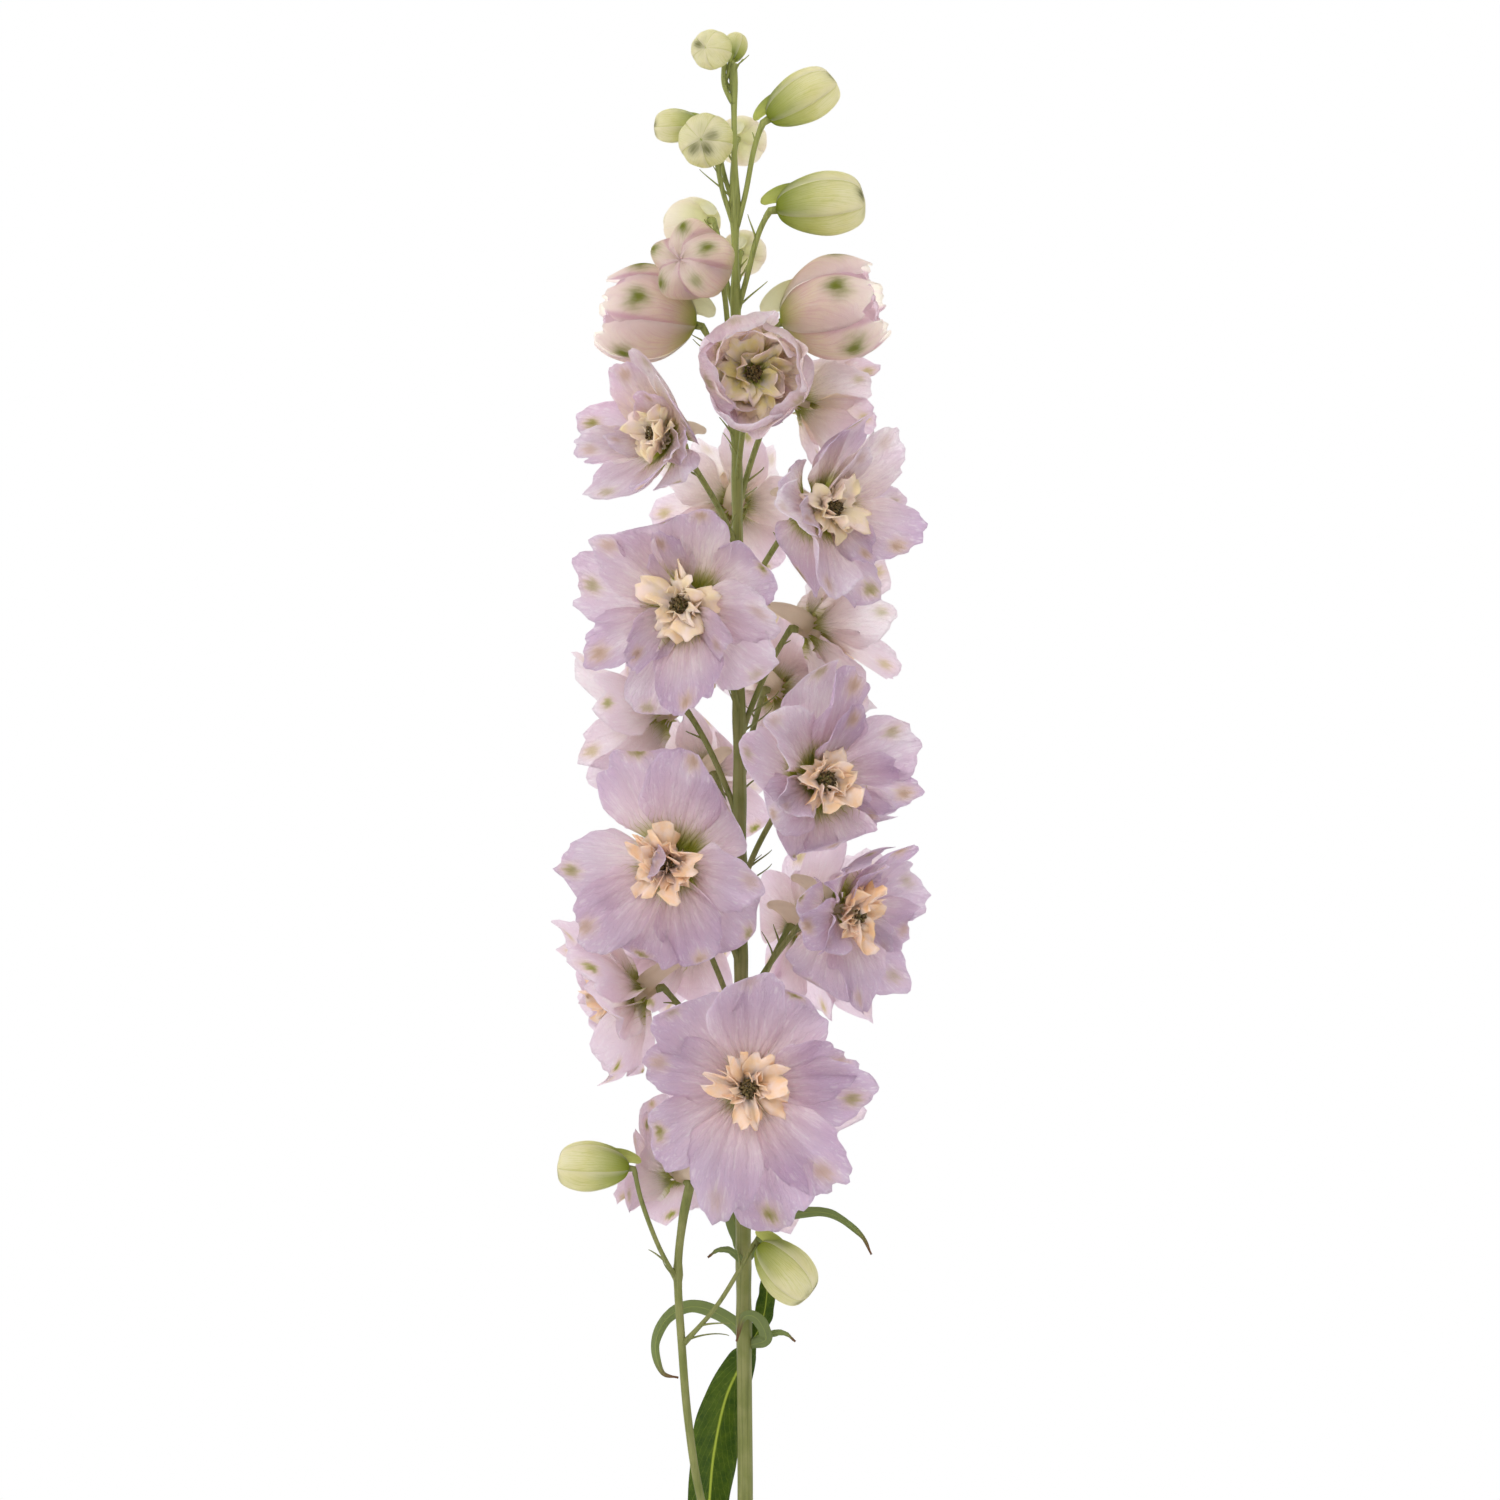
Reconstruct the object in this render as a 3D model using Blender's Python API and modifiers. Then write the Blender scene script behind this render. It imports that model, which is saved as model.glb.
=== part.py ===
"""A cut delphinium spike standing in a narrow-necked glass vase of water.

Metres, +Z up. The origin is the middle of the vase's flat underside. The camera side is -Y.
A bearing is an angle round the stem from the camera side (-Y) towards +X, in degrees.
"""

import math
from collections import namedtuple

import bmesh
import bpy
import numpy as np
from mathutils import Matrix, Vector

# Gaps and wall thicknesses
GAP = 0.0004
PETAL_THICK = 0.00100
LEAF_THICK = 0.00100
EYE_THICK = 0.00100

# Vase: a round bottle with a narrow neck and a turned-out lip
VASE_HEIGHT = 0.190
VASE_FOOT_R = 0.036
VASE_BODY_R = 0.043
VASE_BODY_Z = 0.052
VASE_NECK_R = 0.0125
VASE_NECK_Z = 0.150
VASE_LIP_R = 0.0185
VASE_WALL = 0.0032
VASE_FLOOR = 0.0080
VASE_SIDES = 24
VASE_RINGS = 10
VASE_FOOT_BEVEL = (0.0016, 0.0022)
FLOOR_CORNER = 0.0030
FLOOR_CLEAR = 0.0020
WATER_LEVEL = 0.128
HOLE_SPARE = 0.0040

# Main stem: it stands on the vase floor, leans on the neck and then grows upright
STEM_Y = 0.0078
STEM_FOOT_Z = 0.0090
STEM_FOOT_Y = -0.0040
STEM_LIP_Y = 0.0058
STEM_UPRIGHT_Z = 0.245
STEM_TOP_Z = 0.600
STEM_X = 0.0008
STEM_LEAN_X = -0.0082
STEM_R_LOW = 0.0021
STEM_R_HIGH = 0.0006
STEM_TAPER = 2.2
STEM_LOW_RINGS = 5
STEM_NEXT_Z = 0.290
STEM_HIGH_RINGS = 8
STEM_SIDES_RES = 2
STALK_SIDES_RES = 0
BRANCH_SIDES_RES = 1

# Stalks: how they leave the stem and arrive at a flower, and their thickness
PEDICEL_R = 0.00080
PEDICEL_STEPS = 4
BLOOM_DROP = 0.028
STALK_RISE = 0.45
STALK_OUT = 0.0045
STALK_ARRIVE = (0.6, 0.8)
STALK_LEAD = 0.0080
STALK_LEAD_SHARE = 0.4
STALK_STRAIGHT = 0.0014
BLOOM_STALK_TAPER = 0.95
BUD_STALK_TAPER = 0.85
BUD_STALK_LEAST = 0.70
BUD_STALK_GROWTH = 12.0
SIDE_STALK_SHARE = 0.8

# How far each petal keeps from its neighbours' space, and how softly it bends away from it
CELL_GAP = 0.0011
CELL_SOFT = 0.0022
CELL_REACH = 0.080
CELL_PASSES = 3
CELL_SOFT_REACH = 4.0
CELL_FLAT_FROM = 30.0
STEM_CLEAR = 0.0085

# Petals, as shares of the sepal length, in degrees or in metres. A petal leaves the flower's face at its
# lift and bends to its tip angle. BEND is how much sooner than at its tip the bend is done, and its power.
SEPALS = 5
SEPAL_WIDE = 0.37
SEPAL_LIFT = 38.0
TEPAL_LONG = 0.92
TEPAL_WIDE = 0.34
TEPAL_RISE = 8.0
TEPAL_TIP = 9.0
TIP_OF_CUP = 74.0
TIP_OF_FLAT = -10.0
TIP_SWAY = 5.0
SWAY_STEP = 2.4
PETAL_CUP = 0.16
PETAL_TWIST = 11.0
OPEN_BEND = (1.35, 0.75)
BLADE_PEAK = 1.45
BLADE_FULL = 0.75
SEPAL_STATIONS = (0.0, 0.30, 0.68, 1.0)
TEPAL_STATIONS = (0.0, 0.55, 1.0)

# The half open flower, whose petals close to a ball
INCURVED_LIFT = 10.0
INCURVED_CUP = 0.50
INCURVED_LONG = 0.84
EVEN_BEND = (1.0, 1.0)
INCURVED_STATIONS = (0.0, 0.25, 0.50, 0.75, 1.0)

# The hub behind the petals, and the eye in front of them
CUP_R = 0.0021
CLAW_R = CUP_R * 0.6
CLAW_HALF = 0.0005
HUB_AHEAD = 0.0080
HUB_RADII = (CUP_R * 0.80, CUP_R * 1.35)
CORE_BACK = 0.0026
CORE_FRONT = 0.0030
CORE_SIDES = 5
LAYER_RISE = 0.0024
EYE_PETALS = 5
EYE_SHARE = 0.33
EYE_CUP = 0.10
EYE_LONG = 0.0050
EYE_STATIONS = (0.0, 0.6, 1.0)
EYE_PLUG = (CUP_R * 0.54, CUP_R * 0.42)
EYE_TOP_R = CUP_R * 0.7
EYE_OPEN = (66.0, 24.0, 0.32)
EYE_CLOSING = (20.0, 64.0, -0.12)
SPUR_ROUTE = ((0.0012, -0.0006), (0.0038, 0.0036), (0.0052, 0.0084), (0.0056, 0.0125))
SPUR_RADII = (0.0016, 0.0014, 0.0010, 0.0006)
MIDLINE_STEPS = 40
FLAT_ANGLE = 0.02
SHARP_ANGLE = 50.0

BLOOM_FIELDS = "name height bearing reach facing nod roll sepal spread oval tip"
Bloom = namedtuple("Bloom", BLOOM_FIELDS, defaults=(None,))
Bud = namedtuple("Bud", "name x y z facing nod long wide drop lobed")
PetalSet = namedtuple("PetalSet", "count first share wide lift tip cup bend stations")

# Open flowers. height and reach place the back of the flower, facing and nod turn it. spread is 0 for a
# cup and 1 for a flat flower, oval lengthens the petals that point up and down, and tip is given where the
# petals close to a ball.
BLOOMS = (
    Bloom("bloom_01", 0.3445, 3, 0.0250, 2, -2, 186, 0.0356, 1.00, 0.13),
    Bloom("bloom_02", 0.3995, -38, 0.0250, -20, 0, -50, 0.0365, 0.94, 0.05),
    Bloom("bloom_03", 0.4195, 42, 0.0240, 39, 2, 10, 0.0330, 0.88, 0.06),
    Bloom("bloom_04", 0.4870, 45, 0.0250, 44, 3, -12, 0.0305, 0.74, 0.06),
    Bloom("bloom_05", 0.4630, -24, 0.0250, -27, 2, 14, 0.0350, 0.88, 0.04),
    Bloom("bloom_06", 0.5040, -39, 0.0245, -33, 10, 0, 0.0250, 0.55, 0.02),
    Bloom("bloom_07", 0.3880, 62, 0.0250, 52, -10, 6, 0.0295, 0.85, 0.04),
    Bloom("bloom_08", 0.5215, 10, 0.0220, 3, -6, 20, 0.0320, 0.20, 0.00, 130.0),
    Bloom("bloom_09", 0.5160, 128, 0.0190, 112, -4, 0, 0.0235, 0.42, 0.00),
    Bloom("bloom_10", 0.4900, 182, 0.0220, 185, 2, 12, 0.0245, 0.62, 0.00),
    Bloom("bloom_11", 0.4580, 108, 0.0180, 116, 0, 4, 0.0285, 0.66, 0.00),
    Bloom("bloom_12", 0.4370, -106, 0.0180, -112, -6, -8, 0.0285, 0.62, 0.00),
    Bloom("bloom_13", 0.4430, 158, 0.0220, 155, 4, 16, 0.0265, 0.74, 0.00),
    Bloom("bloom_14", 0.4210, -158, 0.0220, -152, -4, -14, 0.0270, 0.80, 0.00),
    Bloom("bloom_15", 0.3670, -84, 0.0240, -92, -12, 8, 0.0325, 0.80, 0.00),
    Bloom("bloom_16", 0.3825, 138, 0.0220, 142, -2, 0, 0.0285, 0.86, 0.00),
    Bloom("bloom_17", 0.3350, 176, 0.0220, 178, -8, 18, 0.0315, 0.92, 0.00),
    Bloom("bloom_18", 0.3800, -146, 0.0220, -142, 2, -4, 0.0280, 0.84, 0.00),
)

# The flower on the end of the side branch: where its back is, measured from the upright stem.
SIDE_BLOOM = Bloom("bloom_19", 0.3215, -52, 0.0190, -146, 34, 10, 0.0260, 0.66, 0.00)

# Buds: where the back of each is, measured from the upright stem. drop is how far below it its stalk leaves.
BUDS = (
    Bud("bud_01", -0.0125, -0.0060, 0.5338, -85, 12, 0.0240, 0.0230, 0.030, True),
    Bud("bud_02", 0.0092, -0.0060, 0.5345, 80, 14, 0.0255, 0.0245, 0.030, True),
    Bud("bud_03", -0.0072, -0.0090, 0.5470, -28, 8, 0.0195, 0.0180, 0.028, True),
    Bud("bud_04", 0.0080, -0.0020, 0.5630, 85, 8, 0.0220, 0.0155, 0.026, False),
    Bud("bud_05", 0.0060, 0.0000, 0.5860, 88, 33, 0.0190, 0.0125, 0.028, False),
    Bud("bud_06", -0.0080, -0.0050, 0.5792, -12, 2, 0.0145, 0.0130, 0.020, False),
    Bud("bud_07", -0.0118, 0.0030, 0.5848, -90, 0, 0.0110, 0.0080, 0.020, False),
    Bud("bud_08", -0.0020, 0.0060, 0.5815, 172, 4, 0.0140, 0.0120, 0.020, False),
    Bud("bud_09", -0.0062, -0.0020, 0.6020, -20, 6, 0.0110, 0.0095, 0.012, False),
    Bud("bud_10", -0.0034, 0.0020, 0.6010, 165, 52, 0.0085, 0.0058, 0.008, False),
    Bud("bud_11", -0.0090, 0.0065, 0.5610, -150, 0, 0.0160, 0.0130, 0.024, False),
    Bud("bud_12", -0.0012, 0.0085, 0.5530, 175, 6, 0.0150, 0.0110, 0.024, False),
)
SIDE_BUDS = (
    Bud("bud_13", -0.0290, -0.0170, 0.3235, -90, 4, 0.0175, 0.0120, 0.0, False),
    Bud("bud_14", 0.0035, -0.0125, 0.3040, 78, -42, 0.0175, 0.0128, 0.0, False),
)

# A bud's outline from its back to its front: how far along, and how wide. An opening one is cut off square.
CLOSED_BUD = ((0.0, 0.0), (0.10, 0.46), (0.40, 0.92), (0.74, 0.96), (0.95, 0.50), (1.0, 0.0))
OPENING_BUD = ((0.0, 0.0), (0.12, 0.44), (0.42, 0.88), (0.80, 1.0), (1.0, 0.66), (0.90, 0.0))
BUD_RIBS = 5
BUD_RIB_DEPTH = 0.06

# A bud's spur, as shares of the bud's length: how far above the bud's axis and along it, and how thick
BUD_SPUR = ((0.120, 0.160), (0.168, -0.030), (0.155, -0.180))
BUD_SPUR_RADII = (0.090, 0.066, 0.034)

# Side branch and the two stalks on it: points measured from the upright stem.
BRANCH = (
    (-0.0006, 0.0000, 0.2030),
    (-0.0040, -0.0030, 0.2160),
    (-0.0110, -0.0085, 0.2400),
    (-0.0142, -0.0105, 0.2600),
    (-0.0158, -0.0115, 0.2790),
    (-0.0168, -0.0118, 0.2970),
    (-0.0156, -0.0118, 0.3100),
)
BRANCH_R = 0.00105
BRANCH_STEPS = 10
BRANCH_BUD_STALKS = (
    ((-0.0166, -0.0118, 0.2945), (-0.0215, -0.0150, 0.3040), (-0.0256, -0.0170, 0.3150)),
    ((-0.0158, -0.0115, 0.2790), (-0.0075, -0.0135, 0.2885), (-0.0012, -0.0138, 0.2985)),
)

# Leaf lobes and bracts: each is a strip with its greatest half width, along its own points
STRIPS = (
    (0.0023, ((0.0008, 0.0010, 0.2775), (0.0040, 0.0042, 0.2830), (0.0054, 0.0060, 0.2900),
              (0.0054, 0.0062, 0.2985))),
    (0.0019, ((0.0008, 0.0012, 0.2785), (-0.0040, 0.0048, 0.2838), (-0.0125, 0.0060, 0.2872),
              (-0.0195, 0.0050, 0.2845), (-0.0226, 0.0030, 0.2780), (-0.0210, 0.0010, 0.2712),
              (-0.0168, 0.0000, 0.2698))),
    (0.0011, ((0.0010, 0.0000, 0.2785), (0.0062, -0.0012, 0.2808), (0.0098, -0.0022, 0.2812),
              (0.0126, -0.0032, 0.2792))),
    (0.0016, ((0.0012, -0.0004, 0.2780), (0.0052, -0.0034, 0.2800), (0.0030, -0.0062, 0.2852),
              (-0.0004, -0.0072, 0.2856), (-0.0022, -0.0074, 0.2796))),
    (0.0058, ((0.0010, 0.0012, 0.2775), (-0.0010, 0.0044, 0.2730), (-0.0050, 0.0062, 0.2640),
              (-0.0078, 0.0070, 0.2510), (-0.0090, 0.0074, 0.2390), (-0.0098, 0.0074, 0.2240),
              (-0.0106, 0.0066, 0.2060))),
    (0.0014, ((0.0008, 0.0006, 0.3000), (0.0070, 0.0040, 0.3080), (0.0140, 0.0050, 0.3108),
              (0.0220, 0.0040, 0.3105), (0.0290, 0.0030, 0.3055), (0.0318, 0.0030, 0.3005))),
    (0.0021, ((0.0000, 0.0006, 0.2985), (-0.0014, 0.0036, 0.3040), (-0.0034, 0.0052, 0.3110),
              (-0.0042, 0.0070, 0.3170))),
    (0.0009, ((0.0004, -0.0004, 0.2975), (-0.0034, -0.0036, 0.3018), (-0.0068, -0.0048, 0.3022),
              (-0.0094, -0.0050, 0.3004))),
)
STRIP_LEAN = (0.0, 1.0, 0.15)
STRIP_EXTRA_STEPS = 2
STRIP_START = 0.12
STRIP_PEAK = 1.25
STRIP_FULL = 0.8
STRIP_ARCH = 0.22
STRIP_LEAST = 0.0007


def bearing_vector(degrees):
    """The horizontal unit vector at a bearing."""
    angle = math.radians(degrees)
    return np.array((math.sin(angle), -math.cos(angle), 0.0))


def stem_centre(z):
    """The middle of the main stem at height z: leaning to the neck, then bending upright."""
    lean = STEM_FOOT_Y + (STEM_LIP_Y - STEM_FOOT_Y) * (z - STEM_FOOT_Z) / (VASE_HEIGHT - STEM_FOOT_Z)
    bend = np.clip((z - VASE_HEIGHT) / (STEM_UPRIGHT_Z - VASE_HEIGHT), 0.0, 1.0)
    rising = max(0.0, z - STEM_UPRIGHT_Z)
    y = lean if z <= VASE_HEIGHT else STEM_LIP_Y + (STEM_Y - STEM_LIP_Y) * (1 - (1 - bend) ** 2)
    return np.array((STEM_X + STEM_LEAN_X * rising, y, z))


def stem_radius(z):
    """The stem tapers from its foot to its tip, faster towards the tip."""
    share = np.clip((z - STEM_FOOT_Z) / (STEM_TOP_Z - STEM_FOOT_Z), 0.0, 1.0)
    return STEM_R_LOW + (STEM_R_HIGH - STEM_R_LOW) * share**STEM_TAPER


def from_stem(point):
    """A point measured from the upright stem, in the part's frame."""
    return np.array((point[0] + STEM_X, point[1] + STEM_Y, point[2]))


def flower_axes(facing, nod):
    """Rows: right, up and outward directions of a flower that faces that way."""
    tilt = math.radians(nod)
    out = bearing_vector(facing) * math.cos(tilt) + np.array((0.0, 0.0, math.sin(tilt)))
    up = np.array((0.0, 0.0, 1.0)) - out * out[2]
    up /= np.linalg.norm(up)
    return np.array((np.cross(up, out), up, out))


def bloom_base(bloom):
    """Where the back of an open flower is."""
    return stem_centre(bloom.height) + bearing_vector(bloom.bearing) * bloom.reach


def bud_base(bud):
    """Where the back of a bud is."""
    return from_stem((bud.x, bud.y, bud.z))


def material(name, colour, roughness=0.5, alpha=1.0, transmission=0.0):
    """A Principled material with the piece's plain colour."""
    made = bpy.data.materials.new(name)
    made.use_nodes = True
    shader = made.node_tree.nodes["Principled BSDF"]
    shader.inputs["Base Color"].default_value = (*colour, 1.0)
    shader.inputs["Roughness"].default_value = roughness
    shader.inputs["Metallic"].default_value = 0.0
    shader.inputs["Alpha"].default_value = alpha
    shader.inputs["Transmission Weight"].default_value = transmission
    made.diffuse_color = (*colour, alpha)
    return made


def mesh_object(name, points, faces, collection):
    """An object from points and faces, in a collection."""
    mesh = bpy.data.meshes.new(name)
    mesh.from_pydata([tuple(p) for p in points], [], faces)
    mesh.update()
    made = bpy.data.objects.new(name, mesh)
    collection.objects.link(made)
    return made


def bmesh_object(name, shape, collection):
    """An object from a bmesh, which is freed."""
    mesh = bpy.data.meshes.new(name)
    shape.to_mesh(mesh)
    shape.free()
    made = bpy.data.objects.new(name, mesh)
    collection.objects.link(made)
    return made


def blade(name, rows, tip, thickness, collection):
    """A petal or leaf, lofted from thin four-cornered sections: two edges, and the midline's two faces. rows
    holds the left edge, midline and right edge of each section. Both faces are split alike."""
    rows = np.asarray(rows)
    along = np.gradient(np.vstack((rows[:, 1], tip)), axis=0)[:-1]
    normal = np.cross(rows[:, 2] - rows[:, 0], along)
    normal *= thickness / 2 / np.linalg.norm(normal, axis=1)[:, None]
    rings = np.stack((rows[:, 0], rows[:, 1] + normal, rows[:, 2], rows[:, 1] - normal), axis=1)
    shape = bmesh.new()
    loops = [[shape.verts.new(p) for p in ring] for ring in rings]
    point = shape.verts.new(tip)
    for low, high in zip(loops, loops[1:]):
        for edge in (0, 2):
            for face in (1, 3):
                shape.faces.new((low[edge], low[face], high[face]))
                shape.faces.new((low[edge], high[face], high[edge]))
    for edge in (0, 2):
        for face in (1, 3):
            shape.faces.new((loops[-1][edge], loops[-1][face], point))
    for face in (1, 3):
        shape.faces.new((loops[0][0], loops[0][face], loops[0][2]))
    bmesh.ops.recalc_face_normals(shape, faces=shape.faces)
    return bmesh_object(name, shape, collection)


def tube(name, points, radii, sides, collection):
    """A round tube through points, as a closed mesh: a bevelled curve with filled caps, welded."""
    curve = bpy.data.curves.new(name, "CURVE")
    curve.dimensions = "3D"
    curve.bevel_depth = 1.0
    curve.bevel_resolution = sides
    curve.use_fill_caps = True
    spline = curve.splines.new("POLY")
    spline.points.add(len(points) - 1)
    for slot, point, radius in zip(spline.points, points, radii):
        slot.co = (*point, 1.0)
        slot.radius = radius
    guide = bpy.data.objects.new(name, curve)
    collection.objects.link(guide)
    bpy.context.view_layer.update()
    mesh = bpy.data.meshes.new_from_object(guide.evaluated_get(bpy.context.evaluated_depsgraph_get()))
    bpy.data.objects.remove(guide)
    shape = bmesh.new()
    shape.from_mesh(mesh)
    bmesh.ops.remove_doubles(shape, verts=shape.verts, dist=1e-6)
    bpy.data.meshes.remove(mesh)
    return bmesh_object(name, shape, collection)


def bezier(p0, p1, p2, p3, steps):
    """Points along a cubic Bezier curve."""
    t = np.linspace(0.0, 1.0, steps + 1)[:, None]
    return (1 - t) ** 3 * p0 + 3 * (1 - t) ** 2 * t * p1 + 3 * (1 - t) * t**2 * p2 + t**3 * p3


def smooth_line(points, steps):
    """Points read evenly from a Catmull-Rom curve through the route's own points."""
    p = np.array(points, float)
    p = np.vstack((2 * p[0] - p[1], p, 2 * p[-1] - p[-2]))
    found = []
    for s in np.linspace(0.0, len(p) - 3 - 1e-9, steps + 1):
        i, t = int(s), s - int(s)
        a, b, c, d = p[i : i + 4]
        found.append(
            0.5 * (2 * b + (c - a) * t + (2 * a - 5 * b + 4 * c - d) * t**2 + (3 * b - a - 3 * c + d) * t**3)
        )
    return np.array(found)


def islands(shape):
    """The separate closed bodies of a bmesh, each a list of faces."""
    waiting = set(shape.faces)
    found = []
    while waiting:
        body, edge = [], [waiting.pop()]
        while edge:
            face = edge.pop()
            body.append(face)
            near = {f for e in face.edges for f in e.link_faces if f in waiting}
            waiting -= near
            edge.extend(near)
        found.append(body)
    return found


def signed_volume(faces):
    """The volume of a body made of triangles: negative where its faces point inwards, as a hollow's do."""
    return sum(f.verts[0].co.dot(f.verts[1].co.cross(f.verts[2].co)) for f in faces) / 6.0


def keep_largest(mesh):
    """Drops a union's loose scraps and fills the hollows that it sealed, so that one solid body is left."""
    shape = bmesh.new()
    shape.from_mesh(mesh)
    bmesh.ops.triangulate(shape, faces=shape.faces)
    bodies = sorted(islands(shape), key=signed_volume)
    spare = {v for body in bodies[:-1] for f in body for v in f.verts}
    bmesh.ops.delete(shape, geom=list(spare), context="VERTS")
    bmesh.ops.dissolve_limit(shape, angle_limit=FLAT_ANGLE, verts=shape.verts, edges=shape.edges)
    bmesh.ops.triangulate(shape, faces=shape.faces)
    shape.to_mesh(mesh)
    shape.free()


def fuse(core, pieces_in, name, home, paint):
    """Joins a collection's closed pieces to a core with one Boolean union, and keeps that as one node."""
    join = core.modifiers.new("join", "BOOLEAN")
    join.operation = "UNION"
    join.operand_type = "COLLECTION"
    join.collection = pieces_in
    join.solver = "MANIFOLD"
    bpy.context.view_layer.update()
    mesh = bpy.data.meshes.new_from_object(core.evaluated_get(bpy.context.evaluated_depsgraph_get()))
    for spent in [*pieces_in.objects, core]:
        bpy.data.objects.remove(spent)
    keep_largest(mesh)
    mesh.name = name
    mesh.materials.clear()
    mesh.materials.append(paint)
    mesh.shade_smooth()
    mesh.set_sharp_from_angle(angle=math.radians(SHARP_ANGLE))
    made = bpy.data.objects.new(name, mesh)
    home.objects.link(made)
    return made


def cells():
    """For each flower and bud, the middle of its space, how far it reaches, and if it can bend."""
    found = []
    for bloom in (*BLOOMS, SIDE_BLOOM):
        out = flower_axes(bloom.facing, bloom.nod)[2]
        found.append((bloom.name, bloom_base(bloom) + out * HUB_AHEAD, bloom.sepal, True))
    for bud in (*BUDS, *SIDE_BUDS):
        out = flower_axes(bud.facing, bud.nod)[2]
        found.append((bud.name, bud_base(bud) + out * bud.long * 0.5, bud.long * 0.5, False))
    return found


def walls_round(name, places):
    """The planes between one flower and its neighbours: a point and a direction away from the flower."""
    mine = next(p for p in places if p[0] == name)
    walls = []
    for other, centre, reach, bends in places:
        apart = centre - mine[1]
        distance = np.linalg.norm(apart)
        if other == name or distance > CELL_REACH:
            continue
        share = mine[2] / (mine[2] + reach) if bends else 1.0 - (reach + CELL_GAP) / distance
        walls.append((mine[1] + apart * share, apart / distance))
    return walls


def bend_clear(points, walls):
    """Presses points back from each wall: far inside they stay, and near or past it they ease up to it."""
    shape = np.shape(points)
    points = np.array(points).reshape(-1, 3)
    for _ in range(CELL_PASSES):
        for on_wall, away in walls:
            inside = (on_wall - points) @ away
            x = (inside - CELL_GAP) / CELL_SOFT
            soft = np.log1p(np.exp(np.minimum(x, CELL_FLAT_FROM)))
            eased = CELL_GAP + CELL_SOFT * np.where(x > CELL_FLAT_FROM, x, soft)
            moved = np.where(inside < CELL_SOFT_REACH * CELL_SOFT, eased - inside, 0.0)
            points -= moved[:, None] * away
    return points.reshape(shape)


def petal_grid(axes, root, turn, long, tip, plan):
    """Rows of left edge, midline and right edge of one petal, the last row being its tip. Its midline leaves
    the root at its lift above the flower's face and bends over to the tip angle. Each section is curved up at
    its edges by the cup, and turned so that it lies over one neighbour and under the next."""
    ring = math.radians(turn)
    radial = math.cos(ring) * axes[0] + math.sin(ring) * axes[1]
    side = -math.sin(ring) * axes[0] + math.cos(ring) * axes[1]
    out = axes[2]
    early, pace = plan.bend
    s = (np.arange(MIDLINE_STEPS) + 0.5) / MIDLINE_STEPS
    angle = np.radians(plan.lift + (tip - plan.lift) * np.minimum(1.0, s * early) ** pace)
    r = np.concatenate(([0.0], np.cumsum(np.cos(angle)))) * long / MIDLINE_STEPS
    h = np.concatenate(([0.0], np.cumsum(np.sin(angle)))) * long / MIDLINE_STEPS
    knots = np.linspace(0.0, 1.0, MIDLINE_STEPS + 1)
    twist = math.radians(PETAL_TWIST)
    rows = []
    for u in plan.stations:
        here = np.interp(u, s, angle)
        normal = -math.sin(here) * radial + math.cos(here) * out
        middle = root + radial * (CLAW_R + np.interp(u, knots, r)) + out * np.interp(u, knots, h)
        half = max(plan.wide * long * petal_outline(u), CLAW_HALF) if u < 1.0 else 0.0
        across = (side * math.cos(twist) + normal * math.sin(twist)) * half
        arch = normal * plan.cup * half
        rows.append([middle + across * v + arch * v * v for v in (-1.0, 0.0, 1.0)])
    return np.array(rows)


def petal_outline(u):
    """Half width along a petal as a share of its greatest: a narrow claw, a broad blade and a short point."""
    return max(0.0, math.sin(math.pi * min(1.0, u**BLADE_PEAK))) ** BLADE_FULL


def petal_sets(bloom):
    """The plans of a flower's outer sepals and of the inner petals that stand between them."""
    first = 90.0 + bloom.roll
    between = first - 180.0 / SEPALS
    if bloom.tip is None:
        tip = TIP_OF_CUP + (TIP_OF_FLAT - TIP_OF_CUP) * bloom.spread
        lifts, longs = (SEPAL_LIFT, SEPAL_LIFT + TEPAL_RISE), (1.0, TEPAL_LONG)
        form, stations = (PETAL_CUP, OPEN_BEND), (SEPAL_STATIONS, TEPAL_STATIONS)
    else:
        tip = bloom.tip
        lifts, longs = (INCURVED_LIFT, INCURVED_LIFT + TEPAL_RISE), (1.0, INCURVED_LONG)
        form, stations = (INCURVED_CUP, EVEN_BEND), (INCURVED_STATIONS, INCURVED_STATIONS)
    outer = PetalSet(SEPALS, first, longs[0], SEPAL_WIDE, lifts[0], tip, *form, stations[0])
    inner = PetalSet(SEPALS, between, longs[1], TEPAL_WIDE, lifts[1], tip + TEPAL_TIP, *form, stations[1])
    return outer, inner


def eye_set(bloom):
    """The plan of the petals round a flower's eye, which stand up more the less the flower is open."""
    lift, tip, wide = np.array(EYE_OPEN) + np.array(EYE_CLOSING) * (1.0 - bloom.spread)
    return PetalSet(EYE_PETALS, bloom.roll, EYE_SHARE, wide, lift, tip, EYE_CUP, OPEN_BEND, EYE_STATIONS)


def add_petals(bloom, root, plan, sway, walls, thickness, loose):
    """Adds one ring of petals, each bent clear of the neighbours. Their tips sway by turns."""
    axes = flower_axes(bloom.facing, bloom.nod)
    for k in range(plan.count):
        turn = plan.first + 360.0 * k / plan.count
        tip = plan.tip + sway * math.sin(SWAY_STEP * k + plan.lift)
        long = bloom.sepal * plan.share * (1.0 - bloom.oval * math.cos(2.0 * math.radians(turn)))
        grid = bend_clear(petal_grid(axes, root, turn, long, tip, plan), walls)
        blade("petal", grid[:-1], grid[-1, 1], thickness, loose)


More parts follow.
